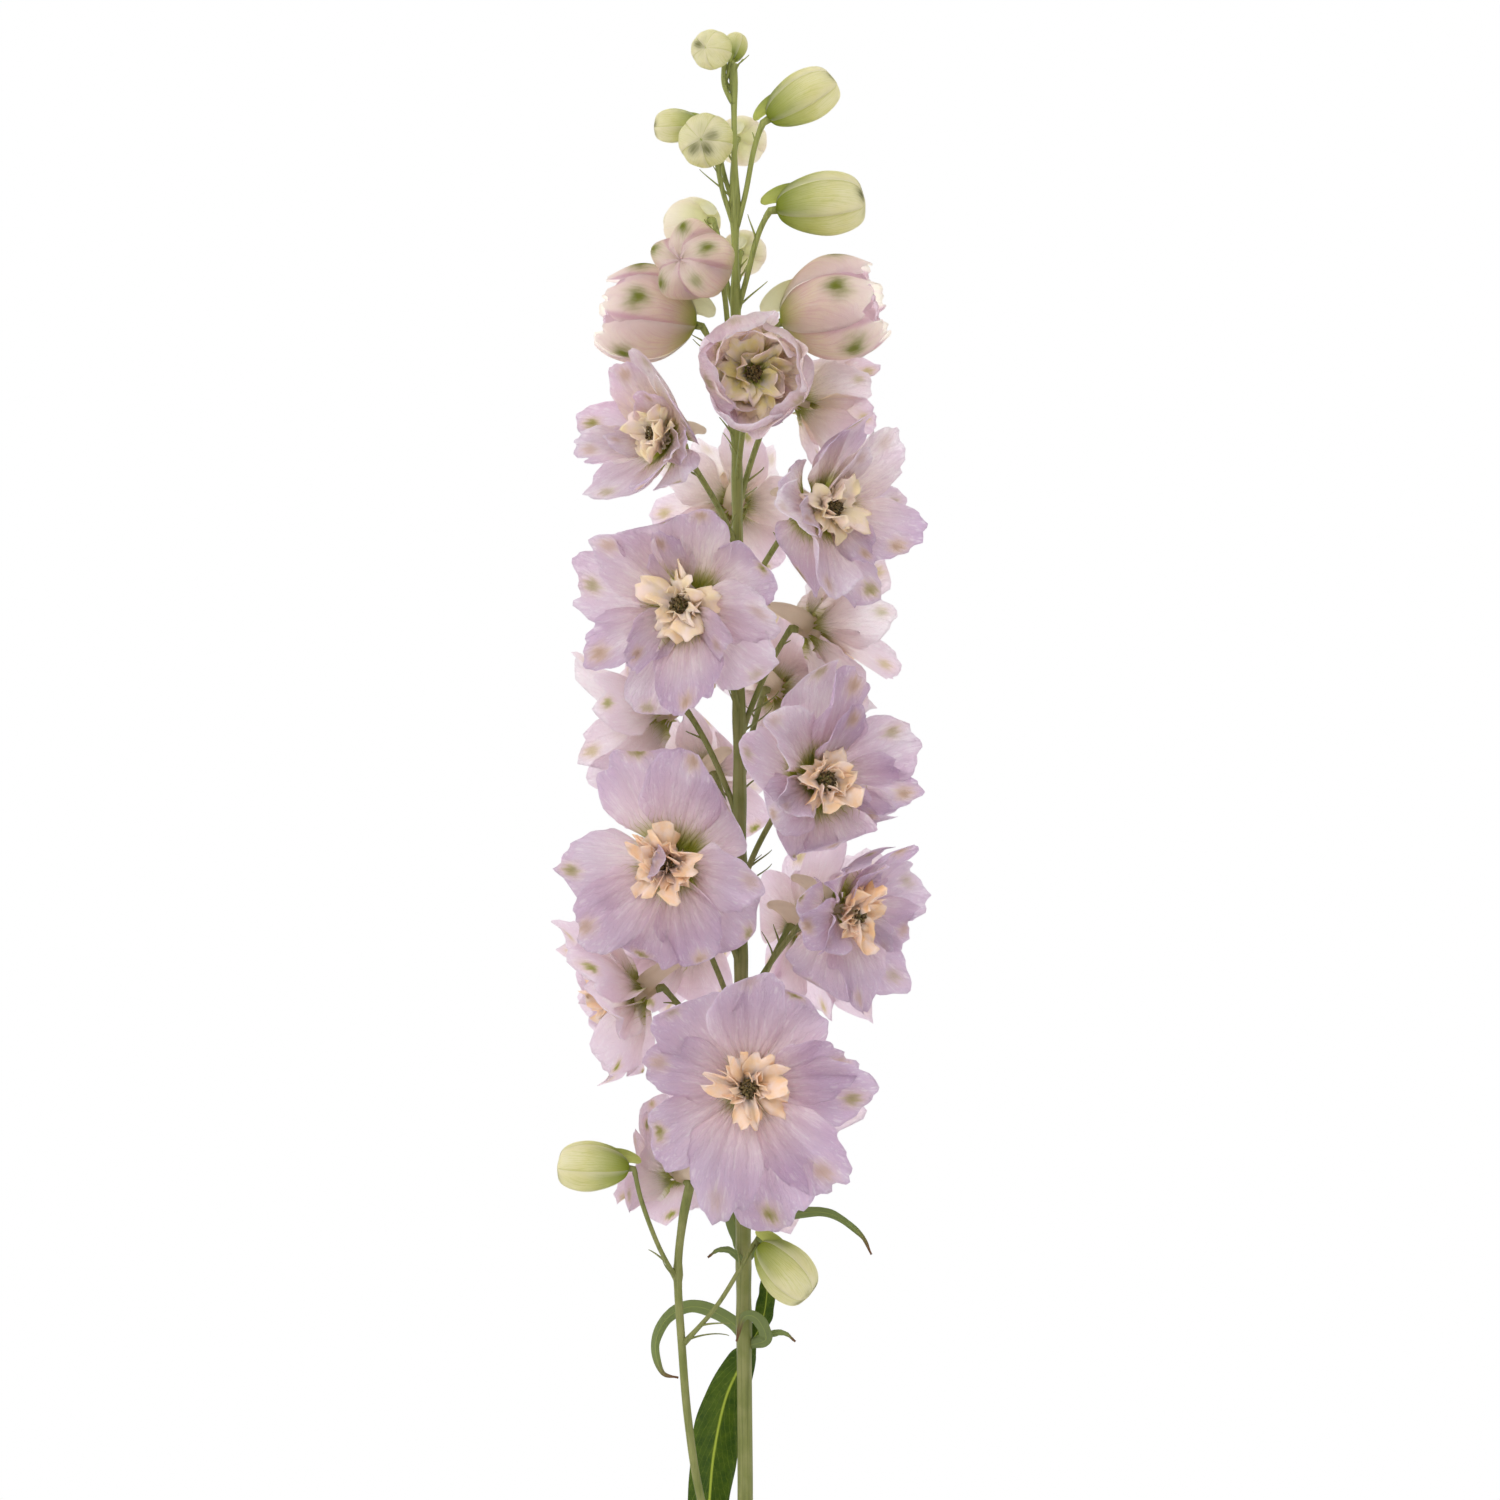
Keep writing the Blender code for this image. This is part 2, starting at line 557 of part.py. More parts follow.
def make_bloom(bloom, places, home, paint, paint_eye):
    """One open flower as two nodes: its lilac sepals, petals and spur, and the cream eye in front of them."""
    axes = flower_axes(bloom.facing, bloom.nod)
    base = bloom_base(bloom)
    walls = walls_round(bloom.name, places)
    if bloom is not SIDE_BLOOM:
        inward = -bearing_vector(bloom.bearing)
        walls.append((stem_centre(bloom.height) - inward * STEM_CLEAR, inward))
    loose = bpy.data.collections.new(bloom.name + "_loose")
    bpy.context.scene.collection.children.link(loose)

    for layer, plan in enumerate(petal_sets(bloom)):
        add_petals(bloom, base + axes[2] * LAYER_RISE * layer, plan, TIP_SWAY, walls, PETAL_THICK, loose)
    spur = [base + axes[1] * rise - axes[2] * back for rise, back in SPUR_ROUTE]
    tube("spur", spur, SPUR_RADII, 0, loose)
    turn, ends = 90.0 + bloom.roll, (-CORE_BACK, CORE_FRONT)
    core = flower_core("core", base, axes, turn, HUB_RADII, ends, CORE_SIDES, home)
    fuse(core, loose, bloom.name, home, paint)

    eye_base = base + axes[2] * (CORE_FRONT + GAP)
    add_petals(bloom, eye_base + axes[2] * LAYER_RISE, eye_set(bloom), 0.0, walls, EYE_THICK, loose)
    radii = (EYE_PLUG[0] + EYE_PLUG[1] * bloom.spread, EYE_TOP_R)
    eye = flower_core("eye", eye_base, axes, bloom.roll, radii, (0.0, EYE_LONG), EYE_PETALS, home)
    fuse(eye, loose, bloom.name + "_eye", home, paint_eye)
    bpy.data.collections.remove(loose)


def flower_core(name, base, axes, turn, radii, ends, sides, collection):
    """A short tapered plug along a flower's axis, which its petals grow from. A flat side faces turn."""
    (back_r, front_r), (back, front) = radii, ends
    shape = bmesh.new()
    bmesh.ops.create_cone(
        shape, cap_ends=True, segments=sides, radius1=back_r, radius2=front_r, depth=front - back
    )
    stand = Matrix([[*column] for column in np.array(axes).T]).to_4x4()
    spin = Matrix.Rotation(math.radians(turn + 180.0 / sides) - math.pi / 2, 4, "Z")
    middle = base + axes[2] * (front + back) / 2
    bmesh.ops.transform(shape, matrix=Matrix.Translation(Vector(middle)) @ stand @ spin, verts=shape.verts)
    return bmesh_object(name, shape, collection)


def make_bud(bud, home, paint):
    """A bud: its outline carried round its axis, where its sepals stand out as soft ribs, with its spur."""
    axes = flower_axes(bud.facing, bud.nod)
    base = bud_base(bud)
    outline = np.array(OPENING_BUD if bud.lobed else CLOSED_BUD)
    shape = bmesh.new()
    bmesh.ops.create_uvsphere(shape, u_segments=2 * BUD_RIBS, v_segments=len(outline) - 1, radius=1.0)
    for vert in shape.verts:
        ring = math.atan2(vert.co.y, vert.co.x)
        row = math.acos(-max(-1.0, min(1.0, vert.co.z))) / math.pi * (len(outline) - 1)
        along, wide = outline[round(row)] * (bud.long, bud.wide / 2)
        wide *= 1.0 + BUD_RIB_DEPTH * math.cos(BUD_RIBS * ring)
        flat = axes[0] * math.cos(ring) + axes[1] * math.sin(ring)
        vert.co = Vector(base + flat * wide + axes[2] * along)
    egg = bmesh_object("egg", shape, home)
    loose = bpy.data.collections.new(bud.name + "_loose")
    bpy.context.scene.collection.children.link(loose)
    spur = [base + (axes[1] * up + axes[2] * along) * bud.long for up, along in BUD_SPUR]
    tube("spur", spur, np.array(BUD_SPUR_RADII) * bud.long, 0, loose)
    fuse(egg, loose, bud.name, home, paint)
    bpy.data.collections.remove(loose)


def stalk_to(base, axes, back, drop, bearing):
    """A stalk from inside the stem up to just behind a flower or bud."""
    up = np.array((0.0, 0.0, 1.0))
    foot = stem_centre(base[2] - drop)
    leave = foot + up * drop * STALK_RISE + bearing_vector(bearing) * STALK_OUT
    tip = base - axes[2] * (back + GAP)
    end = tip - axes[2] * STALK_STRAIGHT
    lead = axes[2] * STALK_ARRIVE[0] + up * STALK_ARRIVE[1]
    arrive = end - lead * min(STALK_LEAD, drop * STALK_LEAD_SHARE)
    return np.vstack((bezier(foot, leave, arrive, end, PEDICEL_STEPS), tip))


def add_stalks(loose):
    """Adds the stalk of each flower and bud on the main stem to a collection."""
    for bloom in BLOOMS:
        axes = flower_axes(bloom.facing, bloom.nod)
        route = stalk_to(bloom_base(bloom), axes, CORE_BACK, BLOOM_DROP, bloom.bearing)
        radii = np.linspace(1.0, BLOOM_STALK_TAPER, len(route)) * PEDICEL_R
        tube("stalk", route, radii, STALK_SIDES_RES, loose)
    for bud in BUDS:
        axes = flower_axes(bud.facing, bud.nod)
        bearing = math.degrees(math.atan2(bud.x, -bud.y))
        route = stalk_to(bud_base(bud), axes, 0.0, bud.drop, bearing)
        size = PEDICEL_R * (BUD_STALK_LEAST + BUD_STALK_GROWTH * bud.long)
        radii = np.linspace(1.0, BUD_STALK_TAPER, len(route)) * size
        tube("stalk", route, radii, STALK_SIDES_RES, loose)


def add_branch(loose):
    """Adds the side branch and the stalks of its two buds to a collection."""
    for bud, points in zip(SIDE_BUDS, BRANCH_BUD_STALKS):
        out = flower_axes(bud.facing, bud.nod)[2]
        end = bud_base(bud) - out * GAP
        route = smooth_line([*map(from_stem, points), end - out * STALK_STRAIGHT], PEDICEL_STEPS)
        route = np.vstack((route, end))
        radii = np.full(len(route), PEDICEL_R * SIDE_STALK_SHARE)
        tube("stalk", route, radii, STALK_SIDES_RES, loose)
    out = flower_axes(SIDE_BLOOM.facing, SIDE_BLOOM.nod)[2]
    end = bloom_base(SIDE_BLOOM) - out * (CORE_BACK + GAP)
    route = smooth_line([*map(from_stem, BRANCH), end - out * STALK_STRAIGHT], BRANCH_STEPS)
    route = np.vstack((route, end))
    tube("branch", route, np.full(len(route), BRANCH_R), BRANCH_SIDES_RES, loose)


def make_stem(home, paint):
    """The leafy stem as one node: main stem, side branch, the stalks of flowers and buds, leaf and bracts."""
    loose = bpy.data.collections.new("stem_loose")
    bpy.context.scene.collection.children.link(loose)
    add_stalks(loose)
    add_branch(loose)
    for half_width, points in STRIPS:
        leaf_strip(points, half_width, loose)

    low = np.linspace(STEM_FOOT_Z, STEM_UPRIGHT_Z, STEM_LOW_RINGS)
    heights = np.concatenate((low, np.linspace(STEM_NEXT_Z, STEM_TOP_Z, STEM_HIGH_RINGS)))
    route = [stem_centre(z) for z in heights]
    stem = tube("main", route, [stem_radius(z) for z in heights], STEM_SIDES_RES, home)
    fuse(stem, loose, "leafy_stem", home, paint)
    bpy.data.collections.remove(loose)


def leaf_strip(points, half_width, collection):
    """One leaf lobe or bract: a strip along its route, arched across, broadest past its middle, pointed."""
    steps = STRIP_EXTRA_STEPS + len(points)
    route = smooth_line([from_stem(p) for p in points], steps)
    along = np.gradient(route, axis=0)
    along /= np.linalg.norm(along, axis=1)[:, None]
    side = np.cross(along, STRIP_LEAN)
    side /= np.linalg.norm(side, axis=1)[:, None]
    normal = np.cross(side, along)
    rows = []
    for i in range(steps):
        u = i / steps
        share = STRIP_START + (1.0 - STRIP_START) * u
        half = max(half_width * math.sin(math.pi * share**STRIP_PEAK) ** STRIP_FULL, STRIP_LEAST)
        arch = normal[i] * half * STRIP_ARCH
        rows.append([route[i] + side[i] * half * v + arch * v * v for v in (-1.0, 0.0, 1.0)])
    blade("leaf", rows, route[steps], LEAF_THICK, collection)


def vase_outer(z):
    """Outer radius of the vase at height z: round body, soft shoulder, slim neck and turned-out lip."""
    if z <= VASE_BODY_Z:
        share = z / VASE_BODY_Z
        return VASE_FOOT_R + (VASE_BODY_R - VASE_FOOT_R) * math.sin(share * math.pi / 2)
    if z <= VASE_NECK_Z:
        share = (z - VASE_BODY_Z) / (VASE_NECK_Z - VASE_BODY_Z)
        return VASE_NECK_R + (VASE_BODY_R - VASE_NECK_R) * (0.5 + 0.5 * math.cos(share * math.pi))
    share = (z - VASE_NECK_Z) / (VASE_HEIGHT - VASE_NECK_Z)
    return VASE_NECK_R + (VASE_LIP_R - VASE_NECK_R) * share**3


def turned(name, profile, sides, collection):
    """A turned solid: a profile in the XZ plane, carried round Z by a Screw modifier and made a mesh."""
    mesh = bpy.data.meshes.new(name)
    mesh.from_pydata([(r, 0.0, z) for r, z in profile], [(i, i + 1) for i in range(len(profile) - 1)], [])
    made = bpy.data.objects.new(name, mesh)
    collection.objects.link(made)
    screw = made.modifiers.new("turn", "SCREW")
    screw.axis = "Z"
    screw.steps = screw.render_steps = sides
    screw.use_merge_vertices = True
    screw.merge_threshold = 0.0001
    return made


def make_vase(home, paint):
    """The glass vase, open at its neck, with a thick floor and a small rounding at its foot."""
    heights = [z * VASE_HEIGHT / VASE_RINGS for z in range(1, VASE_RINGS + 1)]
    bevel_in, bevel_up = VASE_FOOT_BEVEL
    inner = [(0.0, VASE_FLOOR), (vase_outer(VASE_FLOOR) - VASE_WALL - FLOOR_CORNER, VASE_FLOOR)]
    inner += [(vase_outer(z) - VASE_WALL, z) for z in heights if z > VASE_FLOOR + FLOOR_CLEAR]
    outer = [(vase_outer(z), z) for z in reversed(heights)]
    foot = [(VASE_FOOT_R, bevel_up), (VASE_FOOT_R - bevel_in, 0.0), (0.0, 0.0)]
    vase = turned("vase", inner + outer + foot, VASE_SIDES, home)
    vase.data.materials.append(paint)
    vase.data.shade_smooth()
    return vase


def make_water(home, cutters, paint):
    """The water in the vase, a small gap clear of the glass, with a plain hole where the stem stands."""
    heights = [z * VASE_HEIGHT / VASE_RINGS for z in range(1, VASE_RINGS + 1)]
    clear = VASE_WALL + GAP
    floor = VASE_FLOOR + GAP
    wall = [(vase_outer(VASE_FLOOR) - clear - FLOOR_CORNER, floor)]
    wall += [(vase_outer(z) - clear, z) for z in heights if VASE_FLOOR + FLOOR_CLEAR < z < WATER_LEVEL]
    top = [(0.0, WATER_LEVEL), (vase_outer(WATER_LEVEL) - clear, WATER_LEVEL)]
    profile = [*top, *reversed(wall), (0.0, floor)]
    water = turned("water", profile, VASE_SIDES, home)
    water.data.materials.append(paint)
    low, high = stem_centre(VASE_FLOOR - HOLE_SPARE), stem_centre(WATER_LEVEL + HOLE_SPARE)
    hole = tube("stem_hole", [low, high], [STEM_R_LOW + GAP] * 2, STEM_SIDES_RES, cutters)
    hole.hide_render = True
    hole.display_type = "WIRE"
    cut = water.modifiers.new("stem_hole", "BOOLEAN")
    cut.operation = "DIFFERENCE"
    cut.object = hole
    return water


def main():
    """Builds every node."""
    for old in list(bpy.data.objects):
        bpy.data.objects.remove(old)
    home = bpy.data.collections.new("delphinium_in_vase")
    cutters = bpy.data.collections.new("cutters")
    for made in (home, cutters):
        bpy.context.scene.collection.children.link(made)

    lilac = material("lilac_petal", (0.72, 0.60, 0.74), 0.55)
    cream = material("cream_petal", (0.82, 0.66, 0.40), 0.60)
    bud_green = material("green_bud", (0.60, 0.62, 0.34), 0.50)
    bud_lilac = material("lilac_bud", (0.70, 0.60, 0.62), 0.50)
    green = material("leafy_green", (0.22, 0.30, 0.10), 0.45)
    glass = material("clear_glass", (0.90, 0.95, 0.93), 0.02, 0.35, 1.0)
    clear_water = material("clear_water", (0.92, 0.96, 0.96), 0.02, 0.35, 1.0)

    places = cells()
    for bloom in (*BLOOMS, SIDE_BLOOM):
        make_bloom(bloom, places, home, lilac, cream)
    for bud in (*BUDS, *SIDE_BUDS):
        make_bud(bud, home, bud_lilac if bud.lobed else bud_green)
    make_stem(home, green)
    make_vase(home, glass)
    make_water(home, cutters, clear_water)


main()
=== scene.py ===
"""The looks of a cut delphinium spike that stands in a narrow-necked glass vase of water.

Metres, +Z up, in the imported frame. A bearing is an angle round the stem from the camera side (-Y) towards
+X, in degrees. Each surface is a grid of points worked out as whole arrays and made a closed mesh.
"""

import logging
import math
from dataclasses import dataclass, replace
from enum import Enum

import bpy
import numpy as np
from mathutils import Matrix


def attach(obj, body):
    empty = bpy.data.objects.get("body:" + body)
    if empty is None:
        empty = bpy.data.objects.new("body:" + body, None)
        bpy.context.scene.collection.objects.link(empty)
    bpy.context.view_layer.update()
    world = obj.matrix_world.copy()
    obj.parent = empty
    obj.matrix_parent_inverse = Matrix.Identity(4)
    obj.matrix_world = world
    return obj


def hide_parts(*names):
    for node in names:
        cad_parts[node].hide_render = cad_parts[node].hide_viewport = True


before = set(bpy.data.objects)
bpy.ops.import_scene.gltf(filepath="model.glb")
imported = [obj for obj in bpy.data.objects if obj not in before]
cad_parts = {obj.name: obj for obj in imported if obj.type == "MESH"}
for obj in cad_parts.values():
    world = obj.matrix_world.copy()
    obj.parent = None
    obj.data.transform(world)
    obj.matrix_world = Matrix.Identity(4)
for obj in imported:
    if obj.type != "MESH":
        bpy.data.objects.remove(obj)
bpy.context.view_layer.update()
LOG = logging.getLogger("delphinium")

SEED = 2405
BUD_SEED = 100
PLANT_SEED = 500

# The construction's own sizes, which the finer surfaces keep to: the gap behind a flower, how its space is
# cut off from its neighbours', the cup and hub at its back, and the straight end of its stalk
GAP = 0.0004
CELL_GAP = 0.0011
CELL_SOFT = 0.0022
CELL_NEAR = 4 * CELL_SOFT
CELL_RAMP_END = 30
CELL_REACH = 0.080
CELL_PASSES = 3
STEM_CLEAR = 0.0085
CUP_R = 0.0021
HUB_AHEAD = 0.0080
CORE_BACK = 0.0026
CORE_FRONT = 0.0030
LAYER_RISE = 0.0024
STALK_STRAIGHT = 0.0014
UP = np.array((0.0, 0.0, 1.0))
TURN = 2 * math.pi
FIFTH = 360.0 / 5
THIRD = 360.0 / 3
GOLDEN_ANGLE = 137.5

# How low a tube's end domes are, as a share of its radius, and what squares its rings on a straight path
DOME = 0.3
NEARLY_STRAIGHT = 1e-4
SKEW = (0.31, 0.95, 0.05)

Pair = tuple[float, float]
Triple = tuple[float, float, float]


class Whorl(Enum):
    """Which ring of a flower a surface belongs to, as the value that its finish reads."""

    SEPAL = 0.0
    PETAL = 1.0
    CREAM = 1.25
    SPUR = 2.0


class Leafage(Enum):
    """Which kind of leaf a surface is, as the value that its finish reads."""

    BRACT = 0.5
    LEAF = 1.0


def srgb(red: float, green: float, blue: float) -> tuple[float, float, float, float]:
    """A colour given by its 0 to 255 screen values, as linear values with an alpha of 1."""
    shares = (c / 255.0 for c in (red, green, blue))
    return (*(s / 12.92 if s <= 0.04045 else ((s + 0.055) / 1.055) ** 2.4 for s in shares), 1.0)


def unit(vectors: np.ndarray) -> np.ndarray:
    """The vectors at length 1, along their last axis."""
    return vectors / np.maximum(np.linalg.norm(vectors, axis=-1, keepdims=True), 1e-12)


def smooth_step(values: np.ndarray, low: float, high: float) -> np.ndarray:
    """0 below low, 1 above high and an S between them: 3t^2 - 2t^3 of the share t."""
    share = np.clip((values - low) / (high - low), 0.0, 1.0)
    return share * share * (3.0 - 2.0 * share)


def hump(values: np.ndarray, width: float) -> np.ndarray:
    """A smooth hump, 1 where the values are 0: e^-(x / width)^2."""
    return np.exp(-((values / width) ** 2))


def shading(kind: Enum, chance: float, values: np.ndarray) -> np.ndarray:
    """What the finish reads at each point: the kind of surface, its random draw and the point's own value."""
    return np.stack((np.full_like(values, kind.value), np.full_like(values, chance), values), axis=-1)


def smooth_line(points: np.ndarray, count: int) -> np.ndarray:
    """Reads a route as one smooth curve.

    Catmull-Rom: between two points the curve is a cubic that leaves each along the line between its
    neighbours, and the first and last spans are led in by mirrored points.

    Args:
        points: The route's own points, one a row.
        count: How many points to read from the curve.

    Returns:
        The points read, one a row.
    """
    p = np.array(points, float)
    p = np.vstack((2 * p[0] - p[1], p, 2 * p[-1] - p[-2]))
    s = np.linspace(0.0, len(p) - 3 - 1e-9, count)
    i = s.astype(int)
    t = (s - i)[:, None]
    a, b, c, d = p[i], p[i + 1], p[i + 2], p[i + 3]
    return 0.5 * (2 * b + (c - a) * t + (2 * a - 5 * b + 4 * c - d) * t**2 + (3 * b - a - 3 * c + d) * t**3)


def bezier(p0: np.ndarray, p1: np.ndarray, p2: np.ndarray, p3: np.ndarray, count: int) -> np.ndarray:
    """Points along a cubic Bezier curve, count of them."""
    t = np.linspace(0.0, 1.0, count)[:, None]
    return (1 - t) ** 3 * p0 + 3 * (1 - t) ** 2 * t * p1 + 3 * (1 - t) * t**2 * p2 + t**3 * p3


@dataclass
class Surface:
    """A closed surface: its points, its four- and three-sided faces, and the UV and shade of each point."""

    points: np.ndarray
    quads: np.ndarray
    tris: np.ndarray
    uv: np.ndarray
    shade: np.ndarray
    material: int = 0


def sheet(
    grid: np.ndarray, thickness: np.ndarray, uv: np.ndarray, shade: np.ndarray, material: int = 0
) -> Surface:
    """Gives a grid of points a thin wall and closes it all round.

    Both faces are the grid moved half the thickness along its normal, which is the cross product of its
    row and column directions. A rim of quads joins them.

    Args:
        grid: Rows by columns of points.
        thickness: The wall at each point.
        uv: Two texture values at each point.
        shade: Three values at each point, which the finish reads.
        material: Which of the piece's materials it takes.

    Returns:
        The closed surface.
    """
    rows, columns = grid.shape[:2]
    normal = unit(np.cross(np.gradient(grid, axis=0), np.gradient(grid, axis=1)))
    half = normal * thickness[..., None] / 2
    points = np.concatenate(((grid + half).reshape(-1, 3), (grid - half).reshape(-1, 3)))
    index = np.arange(rows * columns).reshape(rows, columns)
    a, b, c, d = index[:-1, :-1], index[1:, :-1], index[1:, 1:], index[:-1, 1:]
    top = np.stack((a, b, c, d), axis=-1).reshape(-1, 4)
    under = top[:, ::-1] + rows * columns
    ring = np.concatenate((index[:-1, 0], index[-1, :-1], index[:0:-1, -1], index[0, :0:-1]))
    after = np.roll(ring, -1)
    rim = np.stack((after, ring, ring + rows * columns, after + rows * columns), axis=-1)
    return Surface(
        points,
        np.concatenate((top, under, rim)),
        np.empty((0, 3), int),
        np.tile(uv.reshape(-1, 2), (2, 1)),
        np.tile(shade.reshape(-1, 3), (2, 1)),
        material,
    )


def ringed(rings: np.ndarray, ends: np.ndarray, shade: Triple, material: int = 0) -> Surface:
    """Joins a row of rings into one closed surface with a point at each end.

    Args:
        rings: Rings by sides of points. Seen from the last ring, each ring's points run anticlockwise.
        ends: The first and last point, one a row.
        shade: The three values that the finish reads.
        material: Which of the piece's materials it takes.

    Returns:
        The closed surface, with UV across round the rings and UV up along them.
    """
    count, sides = rings.shape[:2]
    index = np.arange(count * sides).reshape(count, sides)
    across = np.roll(index, -1, axis=1)
    quads = np.stack((index[:-1], across[:-1], across[1:], index[1:]), axis=-1).reshape(-1, 4)
    first, last = count * sides, count * sides + 1
    low = np.stack((across[0], index[0], np.full(sides, first)), axis=-1)
    high = np.stack((index[-1], across[-1], np.full(sides, last)), axis=-1)
    round_share, along = np.meshgrid(np.arange(sides) / sides, np.linspace(0.0, 1.0, count))
    uv = np.stack((round_share, along), axis=-1).reshape(-1, 2)
    return Surface(
        np.concatenate((rings.reshape(-1, 3), ends)),
        quads,
        np.concatenate((low, high)),
        np.concatenate((uv, [[0.5, 0.0], [0.5, 1.0]])),
        np.tile(np.array(shade), (count * sides + 2, 1)),
        material,
    )


@dataclass(frozen=True)
class Section:
    """A tube's cross-section: the points round it, its ribs and their depth as a share of the radius."""

    sides: int
    ribs: int = 0
    depth: float = 0.0


def tube(
    path: np.ndarray,
    radii: np.ndarray,
    section: Section,
    shade: Triple = (0.0, 0.0, 0.0),
    material: int = 0,
) -> Surface:
    """A round or ribbed tube along a path, closed by a low dome at each end.

    Each ring stands square to the path: a circle of its radius times 1 + depth cos(ribs x angle).

    Args:
        path: The middle of the tube, one point a row.
        radii: The radius at each point.
        section: Its cross-section.
        shade: The three values that the finish reads.
        material: Which of the piece's materials it takes.

    Returns:
        The closed surface.
    """
    along = unit(np.gradient(path, axis=0))
    plane = np.cross(path[len(path) // 2] - path[0], path[-1] - path[0])
    if np.linalg.norm(plane) < NEARLY_STRAIGHT * np.linalg.norm(path[-1] - path[0]) ** 2:
        plane = np.cross(along[0], SKEW)
    side = unit(np.cross(along, unit(plane)))
    other = np.cross(along, side)
    angle = np.arange(section.sides) * TURN / section.sides
    ribbed = 1.0 + section.depth * np.cos(section.ribs * angle)
    radius = np.asarray(radii)[:, None] * ribbed[None, :]
    spoke = side[:, None] * np.cos(angle)[None, :, None] + other[:, None] * np.sin(angle)[None, :, None]
    rings = path[:, None] + spoke * radius[..., None]
    ends = np.array((path[0] - along[0] * radii[0] * DOME, path[-1] + along[-1] * radii[-1] * DOME))
    return ringed(rings, ends, shade, material)


def turned(profile: np.ndarray, sides: int) -> Surface:
    """A surface turned round the Z axis.

    Args:
        profile: Radius and height of each point, from the axis at one end to the axis at the other.
        sides: Points round each ring.

    Returns:
        The closed surface. Its faces point outwards where the profile runs from the bottom, up outside.
    """
    inner = profile[1:-1]
    angle = np.arange(sides) * TURN / sides
    x = inner[:, :1] * np.cos(angle)
    y = inner[:, :1] * np.sin(angle)
    rings = np.stack((x, y, np.repeat(inner[:, 1:], sides, axis=1)), axis=-1)
    ends = np.array(((0.0, 0.0, profile[0, 1]), (0.0, 0.0, profile[-1, 1])))
    return ringed(rings, ends, (0.0, 0.0, 0.0))


def make_piece(
    name: str, surfaces: list[Surface], materials: list[bpy.types.Material], slot: str, *stands_for: str
) -> None:
    """Puts surfaces together as one piece of the object, and hides the nodes that it stands for.

    Args:
        name: The piece's name.
        surfaces: Its closed surfaces.
        materials: Its materials, which the surfaces name by number.
        slot: The record's slot for its finish; not used.
        *stands_for: The construction's nodes that it replaces.
    """
    starts = np.cumsum([0] + [len(s.points) for s in surfaces])
    quads = np.concatenate([s.quads + n for s, n in zip(surfaces, starts)])
    tris = np.concatenate([s.tris + n for s, n in zip(surfaces, starts)])
    mesh = bpy.data.meshes.new(name)
    points = np.concatenate([s.points for s in surfaces])
    mesh.from_pydata(points.tolist(), [], quads.tolist() + tris.tolist())
    chosen = [np.full(len(s.quads), s.material) for s in surfaces]
    chosen += [np.full(len(s.tris), s.material) for s in surfaces]
    for finish in materials:
        mesh.materials.append(finish)
    mesh.polygons.foreach_set("material_index", np.concatenate(chosen).astype(np.int32))
    corners = np.empty(len(mesh.loops), np.int32)
    mesh.loops.foreach_get("vertex_index", corners)
    uv = np.concatenate([s.uv for s in surfaces])[corners]
    mesh.uv_layers.new(name="form").data.foreach_set("uv", uv.astype(np.float32).ravel())
    shade = mesh.attributes.new("shade", "FLOAT_VECTOR", "POINT")
    values = np.concatenate([s.shade for s in surfaces])
    shade.data.foreach_set("vector", values.astype(np.float32).ravel())
    mesh.shade_smooth()
    mesh.update()
    piece = bpy.data.objects.new(name, mesh)
    bpy.context.scene.collection.objects.link(piece)
    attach(piece, "root")
    if stands_for:
        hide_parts(*stands_for)
    LOG.info("%s: %d faces", name, len(mesh.polygons))


def bearing_vector(degrees: float) -> np.ndarray:
    """The horizontal unit vector at a bearing."""
    angle = math.radians(degrees)
    return np.array((math.sin(angle), -math.cos(angle), 0.0))


def flower_axes(facing: float, nod: float) -> np.ndarray:
    """A flower's own directions.

    Args:
        facing: The bearing that it faces.
        nod: How far it looks up, in degrees.

    Returns:
        Its right, up and outward directions, one a row.
    """
    tilt = math.radians(nod)
    out = bearing_vector(facing) * math.cos(tilt) + UP * math.sin(tilt)
    up = unit(UP - out * out[2])
    return np.array((np.cross(up, out), up, out))


@dataclass(frozen=True)
class MainStem:
    """The line and thickness of the main stem, which stands on the vase floor and leans on its neck."""

    y: float = 0.0078
    foot_z: float = 0.0090
    foot_y: float = -0.0040
    lip_y: float = 0.0058
    lip_z: float = 0.190
    upright_z: float = 0.245
    top_z: float = 0.600
    x: float = 0.0008
    lean_x: float = -0.0082
    low_r: float = 0.0021
    high_r: float = 0.0006
    power: float = 2.2

    def centre(self, z: np.ndarray | float) -> np.ndarray:
        """The middle of the stem: a straight lean up to the lip, then a bend to upright.

        The bend is 1 - (1 - t)^2 of the way across, with t the share of its height.

        Args:
            z: One height or several.

        Returns:
            The middle at each height.
        """
        z = np.asarray(z, float)
        lean = self.foot_y + (self.lip_y - self.foot_y) * (z - self.foot_z) / (self.lip_z - self.foot_z)
        bend = np.clip((z - self.lip_z) / (self.upright_z - self.lip_z), 0.0, 1.0)
        bent = self.lip_y + (self.y - self.lip_y) * (1 - (1 - bend) ** 2)
        rising = np.maximum(0.0, z - self.upright_z)
        return np.stack((self.x + self.lean_x * rising, np.where(z <= self.lip_z, lean, bent), z), axis=-1)

    def radius(self, z: np.ndarray) -> np.ndarray:
        """The radius at height z, which shrinks with a power of the share of the height."""
        share = np.clip((z - self.foot_z) / (self.top_z - self.foot_z), 0.0, 1.0)
        return self.low_r + (self.high_r - self.low_r) * share**self.power

    def from_stem(self, point: Triple) -> np.ndarray:
        """A point measured from the upright stem, in the part's frame."""
        return np.array((point[0] + self.x, point[1] + self.y, point[2]))


STEM = MainStem()


